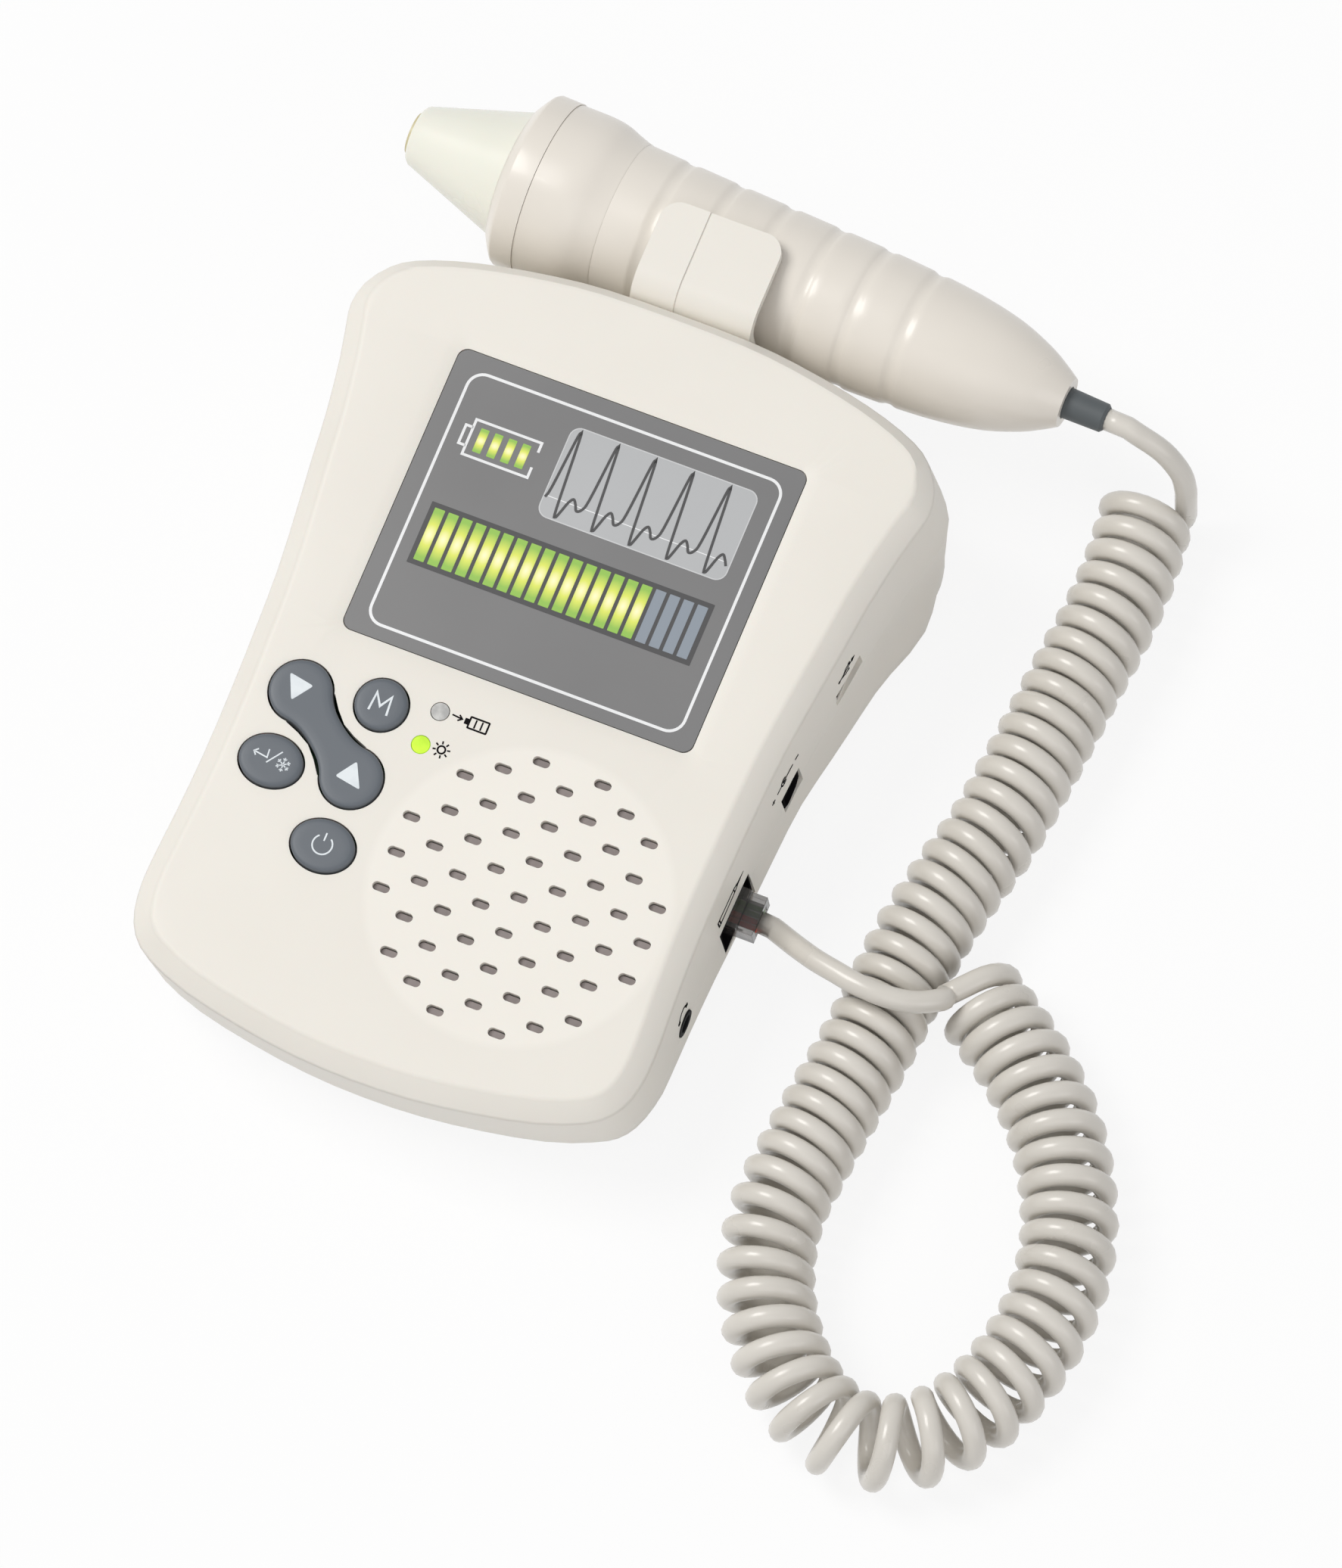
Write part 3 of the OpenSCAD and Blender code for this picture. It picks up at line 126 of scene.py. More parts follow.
def makeFinish(name, look):
    look = {**finishBase, **look}
    material = bpy.data.materials.new(name)
    material.use_nodes = True
    tree = material.node_tree
    shader = tree.nodes["Principled BSDF"]
    coords = tree.nodes.new("ShaderNodeTexCoord")

    def noise(scale, detail):
        node = tree.nodes.new("ShaderNodeTexNoise")
        node.inputs["Scale"].default_value = scale
        node.inputs["Detail"].default_value = detail
        tree.links.new(coords.outputs["Object"], node.inputs["Vector"])
        return node.outputs["Fac"]

    def ramp(source, stops):
        node = tree.nodes.new("ShaderNodeValToRGB")
        stops = list(stops)
        while len(node.color_ramp.elements) < len(stops):
            node.color_ramp.elements.new(0.5)
        for element, (place, colour) in zip(node.color_ramp.elements, stops):
            element.position = place
            element.color = (*colour, 1)
        tree.links.new(source, node.inputs["Fac"])
        return node.outputs["Color"]

    def spread(source, low, high):
        node = tree.nodes.new("ShaderNodeMapRange")
        node.inputs["From Min"].default_value, node.inputs["From Max"].default_value = look["noiseRange"]
        node.inputs["To Min"].default_value = low
        node.inputs["To Max"].default_value = high
        tree.links.new(source, node.inputs["Value"])
        return node.outputs["Result"]

    def multiply(first, second, factor):
        node = tree.nodes.new("ShaderNodeMix")
        node.data_type = "RGBA"
        node.blend_type = "MULTIPLY"
        node.inputs["Factor"].default_value = factor
        tree.links.new(first, node.inputs["A"])
        tree.links.new(second, node.inputs["B"])
        return node.outputs["Result"]

    cloud = noise(look["cloud"], look["cloudDetail"])
    grain = noise(look["grain"], look["grainDetail"])
    base = look["colour"]
    shade = look.get("shade", tuple(c * look["cloudShade"] for c in base))
    colour = ramp(cloud, zip(look["cloudStops"], (shade, base)))
    if "specks" in look:  # small moulding specks and dust
        dust = tree.nodes.new("ShaderNodeTexVoronoi")
        dust.inputs["Scale"].default_value = look["specks"]
        tree.links.new(coords.outputs["Object"], dust.inputs["Vector"])
        colour = multiply(colour, ramp(dust.outputs["Distance"], look["speckStops"]), look["speckShare"])
    if "pad" in look:  # a faint round field over the speaker
        shift = tree.nodes.new("ShaderNodeMapping")
        shift.inputs["Location"].default_value = [-c for c in look["pad"]]
        reach = tree.nodes.new("ShaderNodeVectorMath")
        reach.operation = "LENGTH"
        tree.links.new(coords.outputs["Object"], shift.inputs["Vector"])
        tree.links.new(shift.outputs["Vector"], reach.inputs[0])
        inside = tree.nodes.new("ShaderNodeMapRange")
        inside.inputs["From Min"].default_value, inside.inputs["From Max"].default_value = look["padEdge"]
        tree.links.new(reach.outputs["Value"], inside.inputs["Value"])
        colour = multiply(colour, ramp(inside.outputs["Result"], look["padStops"]), 1.0)
    if "glow" in look:  # lit cells: pale in the middle, green towards the ends
        middle = tree.nodes.new("ShaderNodeVectorMath")
        middle.operation = "DISTANCE"
        middle.inputs[1].default_value = look["cellMiddle"]
        tree.links.new(coords.outputs["UV"], middle.inputs[0])
        colour = ramp(middle.outputs["Value"], look["glow"])
        tree.links.new(colour, shader.inputs["Emission Color"])
        shader.inputs["Emission Strength"].default_value = look["light"]
    tree.links.new(colour, shader.inputs["Base Color"])
    low, high = (look["rough"] * share for share in look["roughSpread"])
    tree.links.new(spread(cloud, low, high), shader.inputs["Roughness"])
    bump = tree.nodes.new("ShaderNodeBump")
    bump.inputs["Distance"].default_value = look["depth"]
    bump.inputs["Strength"].default_value = look["bump"]
    tree.links.new(grain, bump.inputs["Height"])
    tree.links.new(bump.outputs["Normal"], shader.inputs["Normal"])
    for socket, value in look["sockets"].items():
        shader.inputs[socket].default_value = value
    return material


speakerPlace = (15.9, -36.5)
speakerCentre = onFace(*speakerPlace, 0).translation
finishes = {
    "case_plastic": {"colour": (0.86, 0.83, 0.765), "shade": (0.835, 0.803, 0.738), "rough": 0.5,
                     "grain": 2600, "specks": 32, "pad": tuple(speakerCentre), "bump": 0.45,
                     "sockets": {"Subsurface Weight": 0.04, "Subsurface Scale": 0.002}},
    "window": {"colour": (0.168, 0.168, 0.17), "shade": (0.16, 0.16, 0.162), "rough": 0.32, "grain": 900,
               "bump": 0.05, "sockets": {"Coat Weight": 0.25, "Coat Roughness": 0.2}},
    "display_metal": {"colour": (0.6, 0.61, 0.62), "rough": 0.35, "sockets": {"Metallic": 1.0}},
    "display_glass": {"colour": (0.2, 0.22, 0.21), "rough": 0.15},
    "circuit_board": {"colour": (0.02, 0.16, 0.05), "shade": (0.012, 0.11, 0.035), "rough": 0.3, "cloud": 300},
    "switch_plastic": {"colour": (0.018, 0.018, 0.019), "rough": 0.7, "grain": 1500,
                       "sockets": {"Specular IOR Level": 0.1}},
    "key_plastic": {"colour": (0.108, 0.124, 0.144), "shade": (0.1, 0.115, 0.134), "rough": 0.46,
                    "grain": 3000, "bump": 0.35, "sockets": {"Sheen Weight": 0.08}},
    "pivot_steel": {"colour": (0.6, 0.6, 0.62), "rough": 0.3, "sockets": {"Metallic": 1.0}},
    "charge_lens": {"colour": (0.62, 0.62, 0.6), "shade": (0.42, 0.42, 0.41), "cloud": 420, "rough": 0.18,
                    "sockets": {"Coat Weight": 0.5}},
    "power_lens": {"colour": (0.5, 0.78, 0.02), "shade": (0.36, 0.6, 0.01), "cloud": 350, "rough": 0.2,
                   "sockets": {"Coat Weight": 0.5, "Emission Color": (0.55, 0.85, 0.02, 1),
                               "Emission Strength": 0.35}},
    "speaker_paper": {"colour": (0.03, 0.03, 0.03), "rough": 0.8, "grain": 700, "depth": 0.0001},
    "magnet_iron": {"colour": (0.12, 0.12, 0.13), "rough": 0.55, "sockets": {"Metallic": 0.8}},
    "screw_steel": {"colour": (0.55, 0.56, 0.58), "rough": 0.32, "sockets": {"Metallic": 1.0}},
    "port_metal": {"colour": (0.5, 0.42, 0.28), "rough": 0.3, "cloud": 500, "sockets": {"Metallic": 0.9}},
    "cell_wrap": {"colour": (0.1, 0.25, 0.5), "rough": 0.35},
    "foot_rubber": {"colour": (0.035, 0.035, 0.037), "rough": 0.75, "grain": 1400, "depth": 0.00006},
    "lens_resin": {"colour": (0.66, 0.6, 0.4), "shade": (0.6, 0.54, 0.33), "cloud": 180, "rough": 0.28},
    "crystal": {"colour": (0.6, 0.52, 0.2), "rough": 0.4, "sockets": {"Metallic": 0.6}},
    "backing_resin": {"colour": (0.08, 0.08, 0.09), "rough": 0.6},
    "cone_plastic": {"colour": (0.87, 0.865, 0.775), "shade": (0.84, 0.84, 0.745), "rough": 0.27,
                     "grain": 900, "bump": 0.08,
                     "sockets": {"Coat Weight": 0.2, "Subsurface Weight": 0.05, "Subsurface Scale": 0.002}},
    "probe_plastic": {"colour": (0.815, 0.77, 0.7), "shade": (0.79, 0.745, 0.675), "rough": 0.3,
                      "grain": 1400, "bump": 0.12, "specks": 40, "sockets": {"Coat Weight": 0.12}},
    "relief_rubber": {"colour": (0.09, 0.103, 0.11), "rough": 0.55, "grain": 1200},
    "lead_vinyl": {"colour": (0.7, 0.67, 0.615), "shade": (0.66, 0.63, 0.575), "cloud": 60, "rough": 0.3,
                   "grain": 1600, "bump": 0.12, "sockets": {"Coat Weight": 0.25, "Coat Roughness": 0.15}},
    "plug_clear": {"colour": (0.36, 0.35, 0.34), "shade": (0.28, 0.275, 0.27), "cloud": 300, "rough": 0.1,
                   "sockets": {"Transmission Weight": 0.9, "IOR": 1.42}},
    "contact_gold": {"colour": (0.7, 0.5, 0.2), "rough": 0.25, "sockets": {"Metallic": 1.0}},
    "wire_red": {"colour": (0.8, 0.07, 0.03), "rough": 0.35},
}
materials = {name: makeFinish(name, look) for name, look in finishes.items()}
inks = {
    "whiteInk": {"colour": (0.86, 0.87, 0.88), "shade": (0.8, 0.81, 0.82), "rough": 0.4,
                 "grain": 2200, "bump": 0.1},
    "keyInk": {"colour": (0.76, 0.81, 0.84), "shade": (0.68, 0.73, 0.77), "cloud": 400, "bump": 0.1},
    "darkInk": {"colour": (0.045, 0.045, 0.048), "shade": (0.038, 0.038, 0.04), "rough": 0.4, "bump": 0.1},
    # black print of the signs, also used for the painted shade in the wall openings
    "blackPrintAndShade": {"colour": (0.012, 0.011, 0.012), "rough": 0.9, "bump": 0.15,
                 "sockets": {"Specular IOR Level": 0.0}},
    "panelInk": {"colour": (0.455, 0.465, 0.475), "shade": (0.44, 0.45, 0.46), "rough": 0.38, "bump": 0.05},
    "panelRim": {"colour": (0.6, 0.61, 0.62), "rough": 0.4, "bump": 0.05},
    "unlitInk": {"colour": (0.25, 0.29, 0.34), "shade": (0.235, 0.272, 0.32), "rough": 0.4, "bump": 0.05},
    "litInk": {"colour": (0.25, 0.5, 0.06), "rough": 0.4, "bump": 0.05, "light": 0.12,
               "glow": [(0.0, (0.95, 0.88, 0.55)), (0.2, (0.66, 0.72, 0.11)), (0.42, (0.25, 0.47, 0.065))]},
    # painted highlight along the joint of the two shells
    "seamHighlight": {"colour": (0.88, 0.85, 0.79), "rough": 0.5, "grain": 2600, "bump": 0.3},
    "grilleCloth": {"colour": (0.3, 0.265, 0.26), "shade": (0.25, 0.22, 0.215), "cloud": 120, "rough": 0.85,
                    "grain": 1100, "depth": 0.00012, "bump": 0.8, "sockets": {"Sheen Weight": 0.3}},
    "wireGreen": {"colour": (0.12, 0.28, 0.04), "rough": 0.35},
}
materials.update({name: makeFinish(name, look) for name, look in inks.items()})
slotOf = {row["node"]: row["material_slot"] for row in frame["record"]["subparts"]}
bodyOf = {node: body for body, nodes in frame["record"]["behaviour"]["bodies"].items()
          for node in nodes}
for node, piece in frame["nodes"].items():
    piece.data.materials.clear()
    piece.data.materials.append(materials[slotOf[node]])
print("finishes made")


def addPiece(name, mesh, body, material):
    piece = bpy.data.objects.new(name, mesh)
    bpy.context.scene.collection.objects.link(piece)
    mesh.materials.append(materials[material])
    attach(piece, body)
    return piece


def toMesh(bm, name):
    mesh = bpy.data.meshes.new(name)
    bm.to_mesh(mesh)
    bm.free()
    return mesh


def smoothMesh(bm, name, sharp):
    for face in bm.faces:
        face.smooth = True
    mesh = toMesh(bm, name)
    mesh.set_sharp_from_angle(angle=math.radians(sharp))
    return mesh


# The curly lead: one tube from the probe's boot to the plug
leadLook = {
    "route": [(79.4, 71), (80.9, 59), (81.2, 47), (80.4, 35), (79.7, 23), (78.9, 11), (77.8, -1),
              (75.4, -13), (73.6, -25), (73.1, -37), (72.6, -49), (71.5, -61), (70.5, -73), (70.2, -84.5),
              (73, -96), (78.7, -106.2), (87, -114.6), (98, -119.2), (109.2, -116), (117.1, -107),
              (121.5, -95), (122.8, -82.5), (121, -70.5), (116.3, -59.5), (109.7, -49.8), (101.3, -41.6),
              (91.8, -34.8), (87.2, -31.8)],
    "bootEnd": (70.0605, 73.5664, 32.9501),
    "bootWay": (0.999048, -0.0432462, -0.00569347),
    "probeStretch": [(76.2, 73.1, 32.3), (81.3, 73, 29), (84.9, 72.7, 23.4)],
    "plugStretch": [(83.4, -38.3, 18.3), (79.5, -41.3, 20.2), (74.5, -42.6, 21.2), (69, -42.4, 21.2),
                    (64, -41.2, 20.2), (59.5, -39.9, 18.9), (55.2, -38.1, 17.1), (51.8, -36.5, 15.6)],
    "plugEnd": (46.8254, -35.1688, 14.8021),
    "diameter": 4.2,
    "curlRadius": 6.9,
    "curls": 59.75,
    "ringsPerCurl": 24,
    "sides": 14,
    "routeSteps": 6,
    "stretchSteps": 4,
    "lift": 0.05,  # the coil lies this far above the table
    "firstRise": 1.2,  # in diameters
    "plugEntry": (2.52, -0.3, 0.2),
    "leastStep": 0.3,
}


def splineThrough(points, steps):
    made = []
    for i in range(len(points) - 1):
        a, b = points[max(i - 1, 0)], points[i]
        c, d = points[i + 1], points[min(i + 2, len(points) - 1)]
        for k in range(steps):
            t = k / steps
            made.append((2 * b + (c - a) * t + (2 * a - 5 * b + 4 * c - d) * t * t
                         + (3 * b - a - 3 * c + d) * t * t * t) / 2)
    return made + [points[-1]]


def lookUp(value, table):
    if value <= table[0][0]:
        return table[0][1]
    for (x0, y0), (x1, y1) in zip(table, table[1:]):
        if value <= x1:
            return y0 + (y1 - y0) * (value - x0) / (x1 - x0)
    return table[-1][1]


def runsOf(points):
    runs = [0.0]
    for a, b in zip(points, points[1:]):
        runs.append(runs[-1] + (b - a).length)
    return runs


def leadPath(look):
    reach = look["routeSteps"]
    line = splineThrough([Vector((x, y)) for x, y in look["route"]], reach)
    runs = runsOf(line)
    last = len(line) - 1
    radius, diameter = look["curlRadius"], look["diameter"]

    def bendAt(i):
        k = max(reach, min(last - reach, i))
        a, b = line[k] - line[k - reach], line[k + reach] - line[k]
        turned = math.asin(min(1.0, abs(a.x * b.y - a.y * b.x) / a.length / b.length))
        return turned * 2 / (a.length + b.length)
    curlRuns = [0.0]
    for i in range(last):
        curlRuns.append(curlRuns[-1] + (runs[i + 1] - runs[i]) * (1 - radius * bendAt(i)))
    pitch = curlRuns[-1] / look["curls"]
    curlTable = [(c / pitch, s) for c, s in zip(curlRuns, runs)]
    tableX = [(s, p.x) for s, p in zip(runs, line)]
    tableY = [(s, p.y) for s, p in zip(runs, line)]

    def middle(s):
        return Vector((lookUp(s, tableX), lookUp(s, tableY)))

    def helix(c):
        s = lookUp(c, curlTable)
        m = middle(s)
        ahead, behind = min(s + 2 * diameter, runs[-1]), max(s - 2 * diameter, 0)
        t = (middle(ahead) - middle(behind)).normalized()
        a = math.radians(-360 * c)
        return Vector((m.x - t.y * radius * math.cos(a), m.y + t.x * radius * math.cos(a),
                       radius + diameter / 2 + look["lift"] + radius * math.sin(a)))
    count = int(look["ringsPerCurl"] * look["curls"])
    turns = [helix(k / look["ringsPerCurl"]) for k in range(count + 1)]
    bootEnd, bootWay = Vector(look["bootEnd"]), Vector(look["bootWay"])
    first = turns[0] + Vector((0, 0, diameter))
    endWay = turns[-1] - turns[-2]
    endWay.z = 0
    endWay.normalize()
    lastRing = turns[-1] + endWay * diameter
    plugEnd = Vector(look["plugEnd"])
    start = splineThrough([bootEnd + bootWay * diameter, *map(Vector, look["probeStretch"]),
                           first + Vector((0, 0, look["firstRise"] * diameter))], look["stretchSteps"])
    end = splineThrough([lastRing + endWay * diameter / 2, *map(Vector, look["plugStretch"]),
                         plugEnd + Vector(look["plugEntry"])], look["stretchSteps"])
    points = [bootEnd, bootEnd + bootWay * diameter / 2, *start, first, *turns, lastRing, *end, plugEnd]
    clean = [points[0]]
    for p in points[1:]:
        if (p - clean[-1]).length > look["leastStep"]:
            clean.append(p)
    clean[-1] = plugEnd
    return [p * mm for p in clean]


def makeLead(look):
    path = leadPath(look)
    bm = bmesh.new()
    sides, radius, last = look["sides"], look["diameter"] / 2 * mm, len(path) - 1
    up = Vector((0, 1, 0))
    before = None
    for i, p in enumerate(path):
        ahead = (path[min(i + 1, last)] - path[max(i - 1, 0)]).normalized()
        up = (up - ahead * up.dot(ahead)).normalized()
        across = ahead.cross(up)
        ringVerts = [bm.verts.new(p + (up * math.cos(2 * math.pi * k / sides)
                                       + across * math.sin(2 * math.pi * k / sides)) * radius)
                     for k in range(sides)]
        if before:
            for k in range(sides):
                n = (k + 1) % sides
                bm.faces.new((before[k], before[n], ringVerts[n], ringVerts[k]))
        else:
            bm.faces.new(list(reversed(ringVerts)))
        before = ringVerts
    bm.faces.new(before)
    bmesh.ops.recalc_face_normals(bm, faces=bm.faces)
    for face in bm.faces:
        face.smooth = True
    mesh = toMesh(bm, "curlyLead")
    mesh.materials.append(materials["lead_vinyl"])
    piece = bpy.data.objects.new("curlyLead", mesh)
    bpy.context.scene.collection.objects.link(piece)
    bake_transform(piece, "case", "probe", start=(0.0862, 0.0719, 0.0183), end=(0.0862, 0.07337, 0.0329))
    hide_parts("cord_probe_end", "cord_coil", "cord_plug_end")


# CAD nodes that show are copied, merged and shaded smooth, with their own finish
mergeDistance = 1e-6


def dressNode(node, sharp=32.0, bevel=0.0, segments=2):
    source = frame["nodes"][node]
    bm = bmesh.new()
    bm.from_mesh(source.data)
    bmesh.ops.remove_doubles(bm, verts=bm.verts, dist=mergeDistance)
    bmesh.ops.dissolve_degenerate(bm, edges=bm.edges, dist=mergeDistance / 10)
    for face in bm.faces:
        face.smooth = True
    mesh = toMesh(bm, node + "_skin")
    for layer in [a for a in mesh.attributes if a.name == "custom_normal"]:
        mesh.attributes.remove(layer)
    mesh.set_sharp_from_angle(angle=math.radians(sharp))
    piece = addPiece(node + "_skin", mesh, bodyOf[node], slotOf[node])
    if bevel:
        rounding = piece.modifiers.new("rounding", "BEVEL")
        rounding.width = bevel * mm
        rounding.segments = segments
        rounding.limit_method = "ANGLE"
        rounding.angle_limit = math.radians(sharp)
        rounding.use_clamp_overlap = True
        rounding.harden_normals = True
    else:
        weigh = piece.modifiers.new("evenShade", "WEIGHTED_NORMAL")
        weigh.mode = "FACE_AREA"
        weigh.weight = 80
        weigh.keep_sharp = True
    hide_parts(node)
    return piece


skins = {
    "upper_shell": {"sharp": 40}, "lower_shell": {"sharp": 40},
    "probe_cone": {"sharp": 28}, "probe_ring": {"sharp": 34},
    "strain_relief": {"sharp": 40}, "probe_clip": {"sharp": 30, "bevel": 0.6, "segments": 4},
    "charge_lamp": {"sharp": 40, "bevel": 0.25}, "power_lamp": {"sharp": 40, "bevel": 0.25},
    "probe_face": {"sharp": 40, "bevel": 0.3}, "feet": {"sharp": 40, "bevel": 0.4},
    "display_window": {"sharp": 40}, "battery_cover": {"sharp": 40, "bevel": 0.3},
    "headphone_jack": {"sharp": 40}, "plug_body": {"sharp": 30, "bevel": 0.15},
    "plug_latch": {"sharp": 30, "bevel": 0.12},
}
dressed = {node: dressNode(node, **look) for node, look in skins.items()}
print("shells and probe dressed")

# The lead comes after the plug's pieces
makeLead(leadLook)

# Handle: one turned form with shallow finger grooves
handleLook = {
    "tip": (-62.439, 96.4892, -18.0), "turn": -2.5, "start": 27.8, "length": 104.4, "radius": 14.5,
    "shape": [(0, 1.145), (0.055, 1.15), (0.087, 1.125), (0.115, 1.06), (0.138, 1.014), (0.158, 1),
              (0.33, 0.968), (0.5, 0.945), (0.62, 0.925), (0.73, 0.885), (0.81, 0.825), (0.88, 0.725),
              (0.94, 0.57), (0.975, 0.44), (1, 0.33)],
    "shapeSteps": 6,
    "grooves": [0.222, 0.32, 0.418, 0.516, 0.609, 0.707], "grooveWidth": 3.3, "grooveDepth": 0.36,
    "grooveFloor": 0.25, "grooveRings": (-0.5, -0.36, -0.2, 0, 0.2, 0.36, 0.5),
    "wall": 2.0, "bore": 3.1, "endWall": 5, "leastStep": 0.05, "sides": 96, "sharp": 45,
}


def makeHandle(look):
    curve = splineThrough([Vector(p) for p in look["shape"]], look["shapeSteps"])
    grooveShare, end = look["grooveWidth"] / look["length"], look["start"] + look["length"]
    places = sorted([p.x for p in curve]
                    + [g + d * grooveShare for g in look["grooves"] for d in look["grooveRings"]])
    table = [(p.x, p.y) for p in curve]

    def radiusAt(s):
        depth = 0.0
        for g in look["grooves"]:
            off = abs(s - g) / grooveShare * 2
            if off < 1:
                rise = max(0.0, off - look["grooveFloor"]) / (1 - look["grooveFloor"])
                depth = look["grooveDepth"] * (1 + math.cos(math.pi * rise)) / 2
        return look["radius"] * lookUp(s, table) - depth
    outer = [(radiusAt(s), look["start"] + s * look["length"]) for s in places]
    inner = [(max(r - look["wall"], look["bore"]), z) for r, z in outer if z < end - look["endWall"]]
    profile = outer + [(look["bore"], outer[-1][1])] + list(reversed(inner))
    kept = [profile[0]]
    for r, z in profile[1:]:
        if math.dist((r, z), kept[-1]) > look["leastStep"]:
            kept.append((r, z))
    bm = bmesh.new()
    verts = [bm.verts.new((r * mm, 0, z * mm)) for r, z in kept]
    edges = [bm.edges.new((verts[i - 1], verts[i])) for i in range(len(verts))]
    bmesh.ops.spin(bm, geom=verts + edges, axis=(0, 0, 1), cent=(0, 0, 0), dvec=(0, 0, 0),
                   angle=2 * math.pi, steps=look["sides"], use_merge=True)
    bmesh.ops.remove_doubles(bm, verts=bm.verts, dist=mergeDistance)
    bmesh.ops.recalc_face_normals(bm, faces=bm.faces)
    place = onFace(*look["tip"], look["turn"]) @ Matrix.Rotation(math.radians(90), 4, "Y")
    bmesh.ops.transform(bm, matrix=place, verts=bm.verts)
    mesh = smoothMesh(bm, "probeHandle", look["sharp"])
    piece = addPiece("probeHandle", mesh, "probe", "probe_plastic")
    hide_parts("handle_near_half", "handle_far_half")


makeHandle(handleLook)


# Flat shapes: filled outlines and lines of even width, raised a little from where they lie
def rounded(x0, y0, x1, y1, r, steps=6):
    points = []
    for cx, cy, start in ((x1 - r, y1 - r, 0), (x0 + r, y1 - r, 90),
                          (x0 + r, y0 + r, 180), (x1 - r, y0 + r, 270)):
        for k in range(steps + 1):
            a = math.radians(start + 90 * k / steps)
            points.append((cx + r * math.cos(a), cy + r * math.sin(a)))
    return points


def circle(x, y, r, steps=24, start=0.0, sweep=360.0):
    count = steps if sweep == 360.0 else steps + 1
    return [(x + r * math.cos(math.radians(start + sweep * k / steps)),
             y + r * math.sin(math.radians(start + sweep * k / steps))) for k in range(count)]


cellWidth = 0.3  # how much of the glow's width a lit cell spans
leastCorner = 0.4  # keeps the point of a sharp corner in a line short


def fillShape(bm, points, uvLayer=None):
    verts = [bm.verts.new((x, y, 0)) for x, y in points]
    face = bm.faces.new(verts)
    face.normal_update()
    if face.normal.z < 0:
        face.normal_flip()
    if uvLayer:
        lowX, highX = min(p[0] for p in points), max(p[0] for p in points)
        lowY, highY = min(p[1] for p in points), max(p[1] for p in points)
        for loop in face.loops:
            co = loop.vert.co
            across, along = (co.x - lowX) / (highX - lowX), (co.y - lowY) / (highY - lowY)
            loop[uvLayer].uv = (across * cellWidth + (1 - cellWidth) / 2, along)
    return [face]


def lineShape(bm, points, width, closed=False):
    points = [Vector(p) for p in points]
    count = len(points)
    pairs = []
    for i, p in enumerate(points):
        back = points[i - 1] if closed or i else p
        front = points[(i + 1) % count] if closed or i < count - 1 else p
        a, b = (p - back), (front - p)
        a = a.normalized() if a.length else b.normalized()
        b = b.normalized() if b.length else a
        way = (a + b)
        way = way.normalized() if way.length > 1e-6 else a
        side = Vector((-way.y, way.x)) * width / 2 / max(leastCorner, way.dot(b))
        pairs.append((bm.verts.new((*(p + side), 0)), bm.verts.new((*(p - side), 0))))
    faces = []
    for i in range(count if closed else count - 1):
        (a, b), (c, d) = pairs[i], pairs[(i + 1) % count]
        faces.append(bm.faces.new((a, b, d, c)))
    for face in faces:
        face.normal_update()
        if face.normal.z < 0:
            face.normal_flip()


def addShapes(bm, shapes, layer=None):
    for shape in shapes:
        if len(shape) == 1:
            fillShape(bm, shape[0], layer)
        else:
            lineShape(bm, *shape)


def raiseShapes(bm, thick):
    made = bmesh.ops.extrude_face_region(bm, geom=list(bm.faces))
    raised = [v for v in made["geom"] if isinstance(v, bmesh.types.BMVert)]
    bmesh.ops.translate(bm, verts=raised, vec=(0, 0, thick))
    bmesh.ops.recalc_face_normals(bm, faces=bm.faces)


def inkPiece(name, shapes, matrix, body, material, thick=0.05, uv=False):
    bm = bmesh.new()
    addShapes(bm, shapes, bm.loops.layers.uv.new("cells") if uv else None)
    raiseShapes(bm, thick)
    bmesh.ops.scale(bm, verts=bm.verts, vec=(mm, mm, mm))
    bmesh.ops.transform(bm, matrix=matrix, verts=bm.verts)
    addPiece(name, toMesh(bm, name), body, material)


# What the screen shows, printed just above the window
screenLook = {
    "height": -0.61, "line": 0.55, "thinLine": 0.16, "rimLine": 0.22,
    "frame": (-30.5, 2.1, 31.0, 53.0), "corner": 3.0,
    "battery": [(-13.4, 42.6), (-13.4, 44.5), (-26.3, 44.5), (-26.3, 37.5), (-13.4, 37.5),
                (-13.4, 39.6)],
    "batteryNub": [(-26.3, 42.9), (-27.7, 42.9), (-27.7, 39.2), (-26.3, 39.2)], "batteryLine": 0.5,
    "cell": (-24.8, 38.6, -23.2, 43.3), "cellStep": 2.75, "cellCount": 4, "cellCorner": 0.1,
    "panel": (-9.3, 31.7, 27.4, 49.7), "panelCorner": 2.0, "wave": 0.5, "beatCount": 5, "beatShare": 0.2,
    "waveStart": (0.008, 0.8), "waveNext": (0.205, 0.8), "baseLine": [(0.02, 0.78), (0.975, 0.79)],
    "beat": [(0.021, 0.68), (0.04, 0.14), (0.0485, 0.055), (0.056, 0.13), (0.085, 0.87), (0.0965, 0.965),
             (0.11, 0.9), (0.128, 0.78), (0.147, 0.725), (0.166, 0.77), (0.182, 0.83)],
    "bars": (-27.8, 14.9, 27.8, 27.25), "fieldCorner": 0.15,
    "barCount": 20, "lit": 16, "barWidth": 2.0, "barMargin": 0.95,
}


